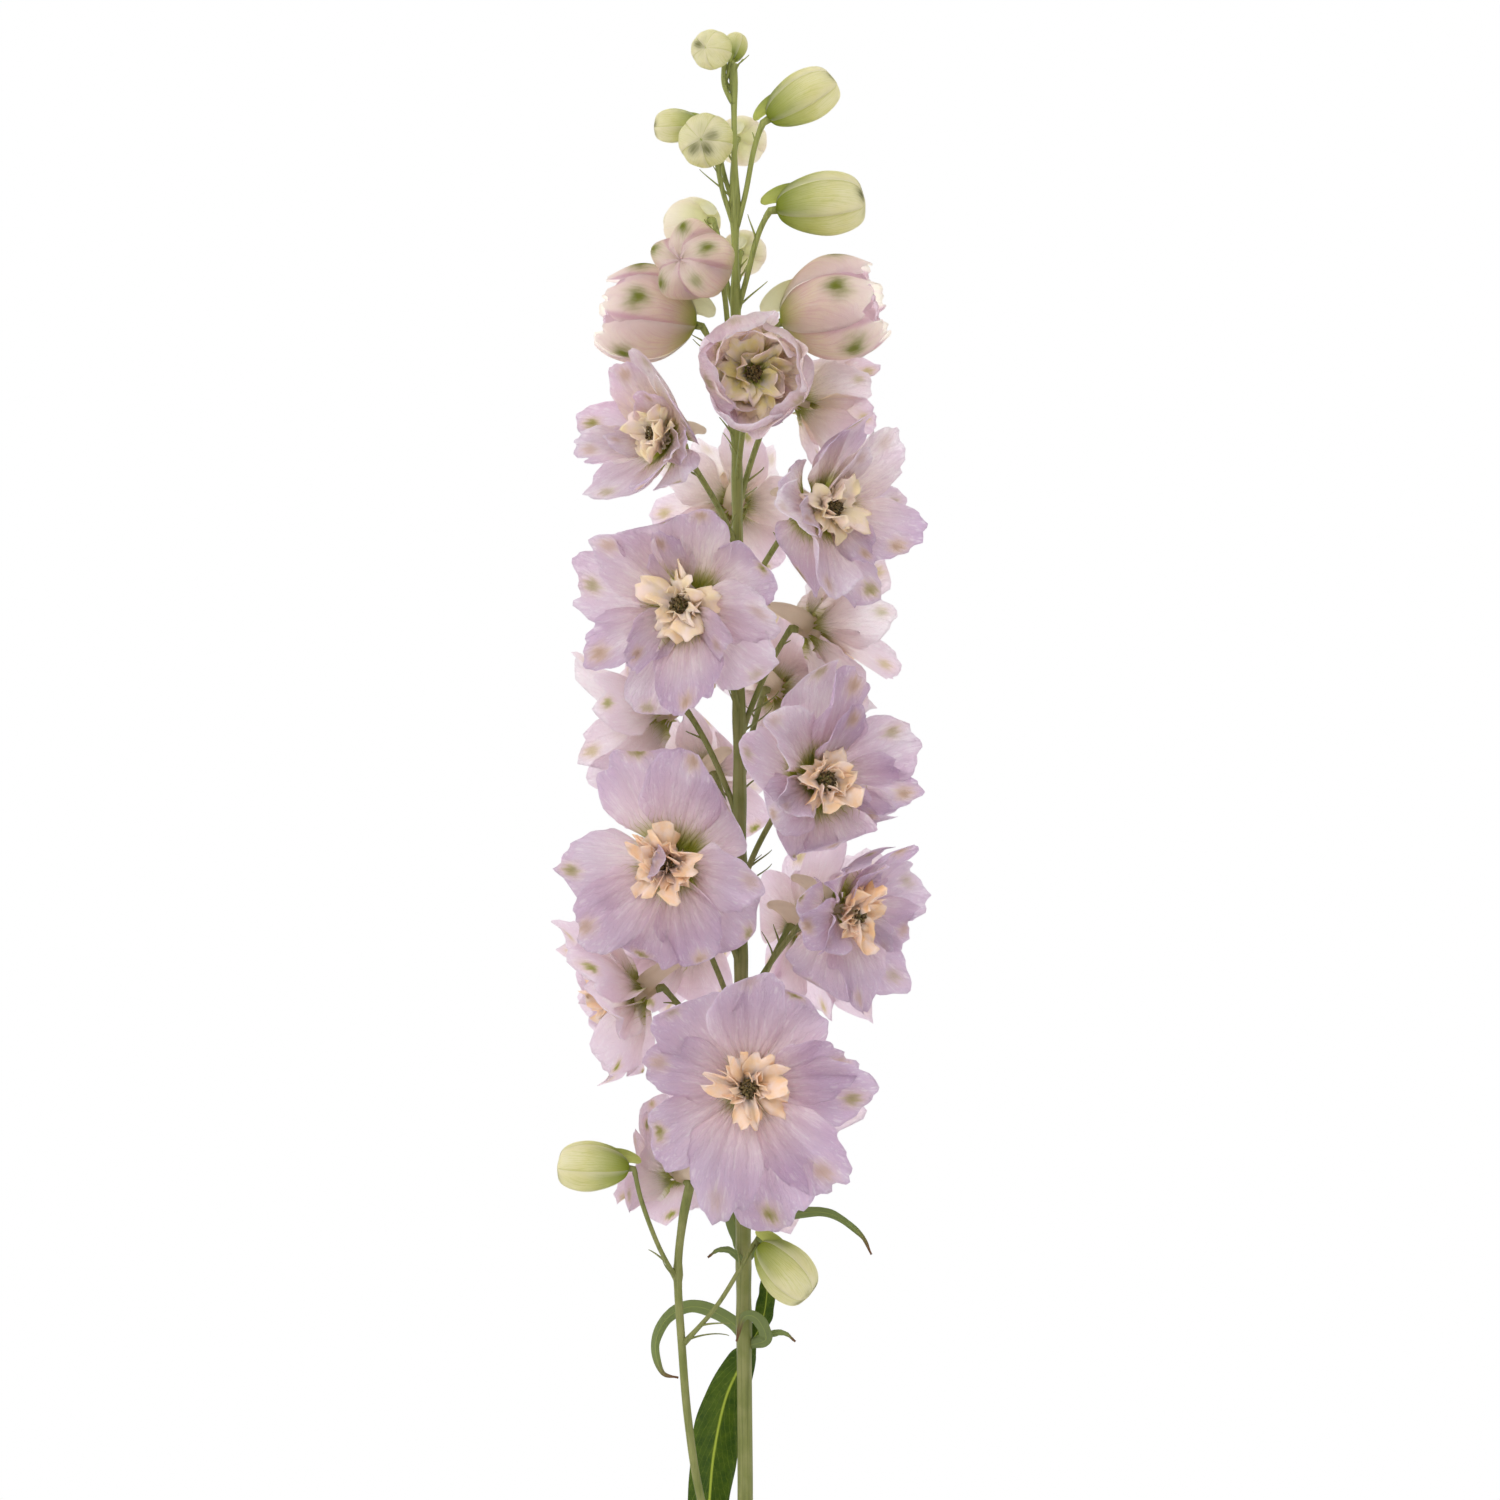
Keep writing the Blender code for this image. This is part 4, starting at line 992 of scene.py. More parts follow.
@dataclass
class Eye:
    """The middle of an open flower: crumpled cream petals round a dome of dark stamens.

    Angles are in degrees. A draw is the spread of a random value, and a range is the two ends of one. The
    names with ball are those of a flower that closes to a ball, and closed is how far from flat a flower is.
    """

    flower: OpenFlower
    cut: PetalCut = PetalCut(
        0.28,
        fan=38.0,
        taper=0.10,
        point=0.0,
        teeth=0.06,
        ruffle=0.14,
        crease=0.07,
        pleats=0.03,
        keel=0.05,
        rows=14,
        columns=15,
    )
    coarse: tuple[int, int] = (10, 11)
    count: int = 15
    ball_count: int = 12
    layers: int = 3
    most_closed: float = 0.6
    wide_range: Pair = (0.26, 0.38)
    closed_wide: float = 0.12
    notch_range: Pair = (0.02, 0.30)
    layer_back: float = 0.0010
    turn_draw: float = 7.0
    long_range: Pair = (0.28, 0.38)
    layer_shorter: float = 0.13
    closed_longer: float = 0.25
    lift: float = 62.0
    closed_lift: float = 14.0
    layer_lift: float = 8.0
    ball_lift: float = 34.0
    ball_layer_lift: float = 14.0
    tilt: float = 10.0
    closed_tilt: float = 40.0
    ball_tilt: float = 20.0
    layer_tilt: float = 22.0
    tilt_draw: float = 14.0
    cup_range: Pair = (-0.4, 0.8)
    twist_draw: float = 22.0
    sway_draw: float = 0.12
    start: float = CUP_R * 0.5
    stamens_near: int = 26
    stamens_far: int = 14
    dome_r: float = 0.0024
    dome_shut: float = 0.75
    dome_high: float = 0.0052
    dome_falls: float = 0.0018
    high_draw: float = 0.0006
    thread_r: float = 0.00016
    thread_in: float = 0.5
    thread_foot: float = 0.001
    thread_rise: float = 0.002
    thread_end: float = 0.001
    thread_knots: int = 5
    thread_section: Section = Section(5)
    lean_range: Pair = (-0.4, 1.0)
    lean_draw: float = 0.8
    lean_up: float = 0.9
    anther_half: Pair = (0.00055, 0.00085)
    anther_radii: tuple = (0.0002, 0.00036, 0.0004, 0.00036, 0.0002)
    anther_section: Section = Section(6)

    def __post_init__(self) -> None:
        """Finds its root in the flower, and takes fewer points in a flower that is turned away."""
        bloom = self.flower.bloom
        self.axes = bloom.axes
        self.closed = min(self.most_closed, 1.0 - bloom.spread)
        self.root = bloom.base + self.axes[2] * (CORE_FRONT + GAP + LAYER_RISE + self.flower.forward)
        if not self.flower.near:
            rows, columns = self.coarse
            self.cut = replace(self.cut, rows=rows, columns=columns)

    def surfaces(self) -> list[Surface]:
        """Every surface of the eye: petals with material 0, then stamens with material 1."""
        return self.petals() + self.stamens()

    def petals(self) -> list[Surface]:
        """The crumpled petals, every third one in the same layer.

        Returns:
            The closed petals, with material 0.
        """
        flower, bloom, rng, closed = self.flower, self.flower.bloom, self.flower.rng, self.closed
        count = self.ball_count if flower.incurved else self.count
        made = []
        for k in range(count):
            inner = k % self.layers
            if flower.incurved:
                lift, tilt = self.ball_lift + self.ball_layer_lift * inner, self.ball_tilt
            else:
                lift = self.lift + self.closed_lift * closed + self.layer_lift * inner
                tilt = self.tilt + self.closed_tilt * closed
            wide = rng.uniform(*self.wide_range) + self.closed_wide * closed
            cut = replace(self.cut, wide=wide, notch=rng.uniform(*self.notch_range))
            turn = bloom.roll + 360.0 * k / count + rng.normal(0.0, self.turn_draw)
            long = bloom.sepal * rng.uniform(*self.long_range)
            stand = PetalStand(
                axes=self.axes,
                root=self.root - self.axes[2] * self.layer_back * inner,
                turn=turn,
                long=long * (1.0 - self.layer_shorter * inner) * (1.0 + self.closed_longer * closed),
                lift=lift,
                tilt=tilt + self.layer_tilt * inner + rng.normal(0.0, self.tilt_draw),
                cup=rng.uniform(*self.cup_range),
                twist=flower.twist + rng.normal(0.0, self.twist_draw),
                sway=rng.normal(0.0, self.sway_draw),
                start=self.start,
            )
            made.append(flower.petal(cut, stand, Whorl.PETAL))
        return made

    def stamens(self) -> list[Surface]:
        """Stamens packed in a low dome, each a thin thread with a long dark anther lying on its end.

        The places follow the sunflower rule: the k-th is turned by k golden angles, at a radius that grows
        with the square root of k.

        Returns:
            The closed threads and anthers, with material 1.
        """
        axes, root, rng = self.axes, self.root, self.flower.rng
        count = self.stamens_near if self.flower.near else self.stamens_far
        spread = self.dome_shut + (1.0 - self.dome_shut) * self.flower.bloom.spread
        made = []
        for k in range(count):
            angle = math.radians(GOLDEN_ANGLE * k)
            share = math.sqrt((k + 0.5) / count)
            flat = axes[0] * math.cos(angle) + axes[1] * math.sin(angle)
            reach = self.dome_r * share * spread
            high = self.dome_high - self.dome_falls * share**2 + rng.uniform(-self.high_draw, self.high_draw)
            top = root + flat * reach + axes[2] * high
            foot = root + flat * reach * self.thread_in - axes[2] * self.thread_foot
            rising, arriving = foot + axes[2] * self.thread_rise, top - axes[2] * self.thread_end
            thread = bezier(foot, rising, arriving, top, self.thread_knots)
            made.append(tube(thread, np.full(len(thread), self.thread_r), self.thread_section, material=1))
            aside = np.cross(flat, axes[2])
            lean = flat * rng.uniform(*self.lean_range) + aside * rng.normal(0.0, self.lean_draw)
            half = unit(lean + axes[2] * self.lean_up) * rng.uniform(*self.anther_half)
            line = np.linspace(top - half, top + half, len(self.anther_radii))
            radii = np.array(self.anther_radii)
            made.append(tube(line, radii, self.anther_section, (1.0, 0.0, 0.0), material=1))
        return made


@dataclass(frozen=True)
class BudForm:
    """The outline of a bud and how its sepals stand in it.

    outline gives how far along and how wide, each as a share of the bud's size. lobes is how far the middle
    of a sepal bulges, step how far its edges lap and flare how far its end waves, as shares of the bud's
    radius. shorter cuts its corners and teeth its end, as shares of its length.
    """

    outline: tuple
    lobes: float
    step: float
    shorter: float
    teeth: float = 0.0
    flare: float = 0.0

    def curve(self, count: int) -> np.ndarray:
        """The outline as a smooth line.

        Args:
            count: How many points to read from it.

        Returns:
            How far along and how wide it is at each point, with a greatest width of 1.
        """
        line = smooth_line(np.array(self.outline), count)
        line[:, 1] /= line[:, 1].max()
        return line


CLOSED = BudForm(
    (
        (0.0, 0.10),
        (0.05, 0.44),
        (0.20, 0.74),
        (0.44, 0.96),
        (0.64, 1.0),
        (0.84, 0.86),
        (0.96, 0.58),
        (1.0, 0.05),
    ),
    lobes=0.03,
    step=0.035,
    shorter=0.0,
)
OPENING = BudForm(
    ((0.0, 0.08), (0.06, 0.40), (0.24, 0.78), (0.50, 1.0), (0.76, 0.94), (1.0, 0.64)),
    lobes=0.12,
    step=0.075,
    shorter=0.26,
    teeth=0.03,
    flare=0.06,
)
MEETING = BudForm(
    ((0.0, 0.10), (0.12, 0.56), (0.38, 0.94), (0.68, 1.0), (0.92, 0.80), (1.04, 0.48), (0.98, 0.06)),
    lobes=0.30,
    step=0.05,
    shorter=0.0,
)
FOLDED_IN = BudForm(
    ((0.08, 0.10), (0.30, 0.62), (0.60, 0.84), (0.84, 0.70), (0.94, 0.30)),
    lobes=0.10,
    step=0.06,
    shorter=0.12,
    teeth=0.05,
)


@dataclass
class ClosedFlower:
    """A bud: five sepals that wrap an egg shape and lap over each other, with a spur.

    An opening bud's sepals stand apart at their tips, and its inner petals show between them. Two values in
    one field are where along the sepal something starts and where it is full.
    """

    bud: Bud
    wall: float = 0.00040
    lap: float = 46.0
    droop: float = 0.05
    within: float = 0.80
    rows: int = 26
    columns: int = 19
    knots: int = 70
    start: float = 0.01
    tooth_pace: float = 9.0
    fine_pace: float = 17.0
    fine_share: float = 0.7
    corner_power: float = 2.4
    lobed_along: Pair = (0.15, 0.8)
    rib_depth: float = 0.010
    rib_pace: float = 3.0
    lap_shift: float = 0.3
    lapped_along: Pair = (0.05, 0.5)
    flared_from: float = 0.75
    flare_pace: float = 3.0
    back_swell: float = 0.16
    back_long: float = 0.30
    map_wide: float = 0.36
    map_part: Pair = (0.05, 0.9)
    spur_route: tuple = ((0.20, 0.30), (0.24, 0.11), (0.22, -0.04), (0.15, -0.17))
    spur_radii: Pair = (0.145, 0.05)
    spur_rounded_from: float = 0.93
    spur_knots: int = 18
    spur_section: Section = Section(14, 5, 0.05)

    def __post_init__(self) -> None:
        """Draws the bud's own random numbers and picks its form."""
        self.rng = np.random.default_rng(SEED + BUD_SEED + self.bud.number)
        if not self.bud.lobed:
            self.form = CLOSED
        else:
            self.form = MEETING if self.bud.number == MEETING_BUD_NUMBER else OPENING

    def sepal(self, turn: float, form: BudForm, whorl: Whorl) -> Surface:
        """One sepal, carried up the bud's outline.

        Along it, the point follows the outline's curve. Across it, the angle round the axis runs lap degrees
        each way, its middle bulges, one edge lies a step outside the next sepal and the other edge inside.
        The side of the bud that is up bulges near its foot, over the spur.

        Args:
            turn: The angle of its middle round the bud's axis.
            form: The outline and the sepal's shares.
            whorl: Which ring it belongs to.

        Returns:
            The closed sepal.
        """
        bud, rng = self.bud, self.rng
        curve = form.curve(self.knots)
        lines = np.linspace(self.start, 1.0, self.rows)
        s, v = np.meshgrid(lines, np.linspace(-1.0, 1.0, self.columns), indexing="ij")
        phase = rng.uniform(0.0, TURN, 3)
        teeth = np.sin(self.tooth_pace * v + phase[0])
        teeth = teeth + self.fine_share * np.sin(self.fine_pace * v + phase[1])
        corners = form.shorter * np.abs(v) ** self.corner_power
        reach = s * (1.0 - corners * s**2 + form.teeth * teeth * s**3)
        share = np.linspace(0.0, 1.0, self.knots)
        along = np.interp(reach, share, curve[:, 0]) * bud.long
        radius = np.interp(reach, share, curve[:, 1]) * (1.0 if whorl is Whorl.SEPAL else self.within)
        bulge = form.lobes * np.cos(v * math.pi) * smooth_step(s, *self.lobed_along)
        ribs = self.rib_depth * np.cos(self.rib_pace * math.pi * v) * np.sin(math.pi * s)
        lapped = form.step * (v + self.lap_shift) * smooth_step(s, *self.lapped_along)
        flared = form.flare * smooth_step(s, self.flared_from, 1.0)
        ruffle = flared * np.cos(self.flare_pace * v + phase[2])
        angle = np.radians(turn + self.lap * v)
        back = self.back_swell * np.sin(angle) * hump(s, self.back_long)
        radius = (radius * (1.0 + bulge + ribs + back) + lapped + ruffle) * bud.wide / 2
        flat = bud.axes[0] * np.cos(angle)[..., None] + bud.axes[1] * np.sin(angle)[..., None]
        sagging = bud.axes[1] * (self.droop * bud.long * s * s)[..., None]
        grid = bud.base + bud.axes[2] * along[..., None] - sagging + flat * radius[..., None]
        shade = shading(whorl, rng.uniform(), v)
        map_from, map_long = self.map_part
        narrowed = np.sin(math.pi * np.minimum(1.0, s * map_long + map_from))
        uv = np.stack((v * self.map_wide * narrowed + 0.5, s), axis=-1)
        return sheet(grid[:, ::-1], np.full(s.shape, self.wall), uv[:, ::-1], shade[:, ::-1])

    def spur(self) -> Surface:
        """The bud's spur: a broad tapered tube that carries on the line of its back.

        Its radius falls with the 0.8th power of what is left of its length.

        Returns:
            The closed tube.
        """
        bud, (foot_r, end_r) = self.bud, self.spur_radii
        share = np.linspace(0.0, 1.0, self.spur_knots)
        route = np.array(self.spur_route) * (bud.wide, bud.long)
        path = smooth_line(bud.base + bud.axes[1] * route[:, :1] + bud.axes[2] * route[:, 1:], len(share))
        rounded = 1.0 - 0.5 * smooth_step(share, self.spur_rounded_from, 1.0)
        radii = bud.wide * (foot_r * (1.0 - share) ** 0.8 + end_r) * rounded
        return tube(path, radii, self.spur_section, (Whorl.SPUR.value, 0.5, 0.0))

    def build(self, finishes: "Finishes") -> None:
        """Makes the bud's piece.

        Args:
            finishes: Every material of the object.
        """
        bud = self.bud
        parts = [self.sepal(90.0 + FIFTH * k, self.form, Whorl.SEPAL) for k in range(5)]
        if bud.lobed:
            parts += [self.sepal(90.0 - FIFTH / 2 + FIFTH * k, FOLDED_IN, Whorl.PETAL) for k in range(5)]
        finish = finishes.pale_bud if bud.number in PALE_BUD_NUMBERS else finishes.bud
        if bud.lobed:
            finish = finishes.opening_bud
        slot = "opening_bud" if bud.lobed else "bud"
        make_piece(f"wrapped_{bud.name}", [*parts, self.spur()], [finish], slot, bud.name)


@dataclass
class Greenery:
    """Everything green: main stem, side branch, stalks, threads on the stalks, the leaf and the bracts."""

    stalk_r: float = 0.00080
    side_stalk_share: float = 0.8
    bud_stalk: Pair = (0.70, 12.0)
    bloom_drop: float = 0.028
    leave_up: float = 0.45
    leave_out: float = 0.0045
    arrive_along: float = 0.6
    arrive_up: float = 0.8
    arrive_long: float = 0.008
    arrive_share: float = 0.4
    stalk_knots: int = 24
    stalk_section: Section = Section(10, 5, 0.05)
    stalk_slim: float = 0.92
    foot_swell: float = 0.35
    foot_long: float = 0.10
    end_swell: float = 0.45
    end_from: float = 0.86
    straight_knots: int = 60
    stem_knots: int = 150
    stem_knots_from: float = 0.248
    stem_section: Section = Section(24, 8, 0.035)
    node_z: float = 0.25
    node_swell: float = 0.00022
    node_rise: float = 0.004
    node_long: float = 0.005
    thread_places: tuple = ((0.04, 0.0085), (0.16, 0.0070), (0.62, 0.0062), (0.74, 0.0056))
    thread_bend: tuple = ((0.3, 0.15), (0.6, 0.5), (0.7, 0.6))
    thread_curl: float = 0.4
    thread_missing: float = 0.15
    thread_knots: int = 12
    thread_radii: Pair = (0.00034, 0.00010)
    thread_long: Pair = (0.7, 1.3)
    thread_aside: Pair = (-0.2, 0.5)
    thread_up: Pair = (-0.2, 0.6)
    thread_section: Section = Section(6)
    branch_r: float = 0.00105
    branch_knots: int = 70
    branch_section: Section = Section(16, 6, 0.04)
    fork_z: float = 0.297
    fork_long: float = 0.0016
    fork_swell: float = 0.35
    branch_end: Pair = (0.305, 0.315)
    branch_end_swell: float = 0.2
    branch: tuple = (
        (-0.0006, 0.0000, 0.2030),
        (-0.0040, -0.0030, 0.2160),
        (-0.0110, -0.0085, 0.2400),
        (-0.0142, -0.0105, 0.2600),
        (-0.0158, -0.0115, 0.2790),
        (-0.0168, -0.0118, 0.2970),
        (-0.0156, -0.0118, 0.3100),
    )
    side_stalks: tuple = (
        ((-0.0166, -0.0118, 0.2945), (-0.0215, -0.0150, 0.3040), (-0.0256, -0.0170, 0.3150)),
        ((-0.0158, -0.0115, 0.2790), (-0.0075, -0.0135, 0.2885), (-0.0012, -0.0138, 0.2985)),
    )

    def __post_init__(self) -> None:
        """Draws the plant's own random numbers."""
        self.rng = np.random.default_rng(SEED + PLANT_SEED)

    def stalk_path(
        self, base: np.ndarray, axes: np.ndarray, back: float, drop: float, bearing: float
    ) -> np.ndarray:
        """A stalk's line, from inside the stem up to just behind a flower or bud.

        A cubic that leaves the stem upwards and outwards and ends along the flower's axis, then a short
        straight end.

        Args:
            base: The back of the flower.
            axes: The flower's directions.
            back: How far the flower's hub reaches behind that.
            drop: How far below the flower the stalk leaves the stem.
            bearing: The side of the stem that it leaves.

        Returns:
            The points of its line.
        """
        foot = STEM.centre(base[2] - drop)
        tip = base - axes[2] * (back + GAP)
        end = tip - axes[2] * STALK_STRAIGHT
        arrive = axes[2] * self.arrive_along + UP * self.arrive_up
        leave = foot + UP * drop * self.leave_up + bearing_vector(bearing) * self.leave_out
        before = end - arrive * min(self.arrive_long, drop * self.arrive_share)
        bend = bezier(foot, leave, before, end, self.stalk_knots)
        return np.vstack((bend, tip + axes[2] * GAP))

    def stalks(self) -> list[tuple[np.ndarray, np.ndarray]]:
        """Every stalk but the one that the side branch ends in.

        Returns:
            The line and the radii of each.
        """
        lines = []
        for bloom in BLOOMS[:-1]:
            path = self.stalk_path(bloom.base, bloom.axes, CORE_BACK, self.bloom_drop, bloom.bearing)
            lines.append((path, self.stalk_r))
        for bud in BUDS:
            if bud.number in SIDE_BUD_NUMBERS:
                points = self.side_stalks[SIDE_BUD_NUMBERS.index(bud.number)]
                end = bud.base - bud.axes[2] * STALK_STRAIGHT
                route = smooth_line([*map(STEM.from_stem, points), end], self.stalk_knots)
                lines.append((np.vstack((route, bud.base)), self.stalk_r * self.side_stalk_share))
            else:
                bearing = math.degrees(math.atan2(bud.x, -bud.y))
                path = self.stalk_path(bud.base, bud.axes, 0.0, bud.drop, bearing)
                least, growth = self.bud_stalk
                lines.append((path, self.stalk_r * (least + growth * bud.long)))
        return [(path, radius * self.stalk_swell(len(path))) for path, radius in lines]

    def stalk_swell(self, count: int) -> np.ndarray:
        """A stalk's thickness, wider where it leaves the stem and where it meets the flower.

        Args:
            count: How many points its line has.

        Returns:
            What its radius is multiplied by at each point.
        """
        share = np.linspace(0.0, 1.0, count)
        foot = self.foot_swell * hump(share, self.foot_long)
        return self.stalk_slim + foot + self.end_swell * smooth_step(share, self.end_from, 1.0)

    def main_stem(self) -> Surface:
        """The ribbed main stem, with a slight swelling at each stalk's foot.

        Returns:
            The closed tube.
        """
        low = np.linspace(STEM.foot_z, STEM.upright_z, self.straight_knots)
        z = np.concatenate((low, np.linspace(self.stem_knots_from, STEM.top_z, self.stem_knots)))
        radii = STEM.radius(z)
        for path, _ in self.stalks():
            swell = hump(z - path[0, 2] - self.node_rise, self.node_long)
            radii = radii + self.node_swell * swell * (z > self.node_z)
        return tube(STEM.centre(z), radii, self.stem_section)

    def side_branch(self) -> Surface:
        """The side branch, which swells at its fork and at its end.

        Returns:
            The closed tube.
        """
        bloom = BLOOMS[-1]
        end = bloom.base - bloom.axes[2] * CORE_BACK
        straight = end - bloom.axes[2] * STALK_STRAIGHT
        route = smooth_line([*map(STEM.from_stem, self.branch), straight], self.branch_knots)
        line = np.vstack((route, end))
        fork = self.fork_swell * hump(line[:, 2] - self.fork_z, self.fork_long)
        swell = 1.0 + fork + self.branch_end_swell * smooth_step(line[:, 2], *self.branch_end)
        return tube(line, self.branch_r * swell, self.branch_section)

    def threads(self) -> list[Surface]:
        """Thread-like bracteoles: two low on each stalk and two higher, with some missing.

        Returns:
            Tapered tubes that leave the stalk and curl up and outwards.
        """
        made, rng = [], self.rng
        for path, _ in self.stalks():
            for share, long in self.thread_places:
                if rng.uniform() < self.thread_missing:
                    continue
                at = path[int(share * len(path))]
                along = unit(path[int(share * len(path)) + 1] - at)
                side = unit(np.cross(along, rng.normal(size=3)))
                long = long * rng.uniform(*self.thread_long)
                curl = side * rng.uniform(*self.thread_aside) + UP * rng.uniform(*self.thread_up)
                bends = [at + along * long * far + side * long * out for far, out in self.thread_bend]
                bends[-1] = bends[-1] + curl * long * self.thread_curl
                line = bezier(at, *bends, self.thread_knots)
                thick = np.linspace(*self.thread_radii, self.thread_knots)
                made.append(tube(line, thick, self.thread_section, (Leafage.BRACT.value, rng.uniform(), 0.0)))
        return made

    def build(self, finishes: "Finishes") -> None:
        """Makes the stem piece, the leaf piece, the bracts and the threads.

        Args:
            finishes: Every material of the object.
        """
        stems = [self.main_stem(), self.side_branch()]
        stems += [tube(path, radii, self.stalk_section) for path, radii in self.stalks()]
        make_piece("stem_and_stalks", stems, [finishes.green], "green", "leafy_stem")
        make_piece("bracteoles", self.threads(), [finishes.green], "green")
        make_piece("leaf", [lobe.surface() for lobe in LEAF_LOBES], [finishes.leaf], "green")
        make_piece("bracts", [bract.surface() for bract in BRACTS], [finishes.leaf], "green")


@dataclass(frozen=True)
class Blade:
    """A leaf lobe or bract: a strip along its own points, arched across, broadest where peak puts it.

    arch, groove and pleats are heights as shares of half its width there.
    """

    half_width: float
    route: tuple
    kind: Leafage = Leafage.LEAF
    peak: float = 1.25
    wall: float = 0.00035
    rows: int = 60
    columns: int = 13
    across: Triple = (0.0, 1.0, 0.15)
    blunt: float = 0.12
    fullness: float = 0.8
    least: float = 0.00025
    wave: float = 0.05
    wave_pace: float = 23.0
    wave_slant: float = 2.0
    arch: float = 0.22
    groove: float = 0.16
    groove_wide: float = 0.16
    pleats: float = 0.05
    pleat_pace: float = 40.0
    pleat_slant: float = 9.0

    def surface(self) -> Surface:
        """The closed blade.

        Half its width is its greatest times a power of sin(pi x share^peak), the section rises with the
        square of the way to its edges, a groove follows the midrib and shallow waves follow the side veins.

        Returns:
            The closed surface.
        """
        route = smooth_line([STEM.from_stem(p) for p in self.route], self.rows)
        along = unit(np.gradient(route, axis=0))
        side = unit(np.cross(along, self.across))
        normal = np.cross(side, along)
        lines, columns = np.linspace(0.0, 1.0, self.rows), np.linspace(-1.0, 1.0, self.columns)
        u, v = np.meshgrid(lines, columns, indexing="ij")
        share = np.minimum(1.0, self.blunt + (1.0 - self.blunt) * u)
        half = self.half_width * np.sin(math.pi * share**self.peak) ** self.fullness
        wave = 1.0 + self.wave * np.sin(self.wave_pace * u + self.wave_slant * v)
        half = np.maximum(half, self.least) * wave
        groove = self.groove * hump(v, self.groove_wide)
        pleats = self.pleats * np.sin(self.pleat_pace * u - self.pleat_slant * np.abs(v)) * v * v
        rise = half * (self.arch * v * v - groove + pleats)
        grid = route[:, None] + side[:, None] * (half * v)[..., None] + normal[:, None] * rise[..., None]
        shade = shading(self.kind, 0.5, np.abs(v))
        uv = np.stack((v * half / self.half_width * 0.5 + 0.5, u), axis=-1)
        return sheet(grid, np.full(u.shape, self.wall), uv, shade)


LEAF_LOBES = (
    Blade(
        0.0023,
        (
            (0.0008, 0.0010, 0.2775),
            (0.0040, 0.0042, 0.2830),
            (0.0054, 0.0060, 0.2900),
            (0.0054, 0.0062, 0.2985),
        ),
    ),
    Blade(
        0.0017,
        (
            (0.0008, 0.0012, 0.2785),
            (-0.0040, 0.0048, 0.2838),
            (-0.0125, 0.0060, 0.2872),
            (-0.0195, 0.0050, 0.2845),
            (-0.0226, 0.0030, 0.2780),
            (-0.0210, 0.0010, 0.2712),
            (-0.0168, 0.0000, 0.2698),
        ),
        Leafage.BRACT,
        peak=0.62,
    ),
    Blade(
        0.0009,
        (
            (0.0010, 0.0000, 0.2785),
            (0.0062, -0.0012, 0.2808),
            (0.0098, -0.0022, 0.2812),
            (0.0126, -0.0032, 0.2792),
        ),
        Leafage.BRACT,
        peak=0.62,
    ),
    Blade(
        0.0016,
        (
            (0.0012, -0.0004, 0.2780),
            (0.0052, -0.0034, 0.2800),
            (0.0030, -0.0062, 0.2852),
            (-0.0004, -0.0072, 0.2856),
            (-0.0022, -0.0074, 0.2796),
        ),
        Leafage.BRACT,
        peak=0.75,
    ),
    Blade(
        0.0058,
        (
            (0.0010, 0.0012, 0.2775),
            (-0.0010, 0.0044, 0.2730),
            (-0.0050, 0.0062, 0.2640),
            (-0.0078, 0.0070, 0.2510),
            (-0.0090, 0.0074, 0.2390),
            (-0.0098, 0.0074, 0.2240),
            (-0.0106, 0.0066, 0.2060),
        ),
    ),
)
BRACTS = (
    Blade(
        0.0014,
        (
            (0.0008, 0.0006, 0.3000),
            (0.0070, 0.0040, 0.3080),
            (0.0140, 0.0050, 0.3108),
            (0.0220, 0.0040, 0.3105),
            (0.0290, 0.0030, 0.3055),
            (0.0318, 0.0030, 0.3005),
        ),
        Leafage.BRACT,
        peak=0.62,
    ),
    Blade(
        0.0021,
        (
            (0.0000, 0.0006, 0.2985),
            (-0.0014, 0.0036, 0.3040),
            (-0.0034, 0.0052, 0.3110),
            (-0.0042, 0.0070, 0.3170),
        ),
        Leafage.BRACT,
    ),
    Blade(
        0.0009,
        (
            (0.0004, -0.0004, 0.2975),
            (-0.0034, -0.0036, 0.3018),
            (-0.0068, -0.0048, 0.3022),
            (-0.0094, -0.0050, 0.3004),
        ),
        Leafage.BRACT,
        peak=0.55,
    ),
)


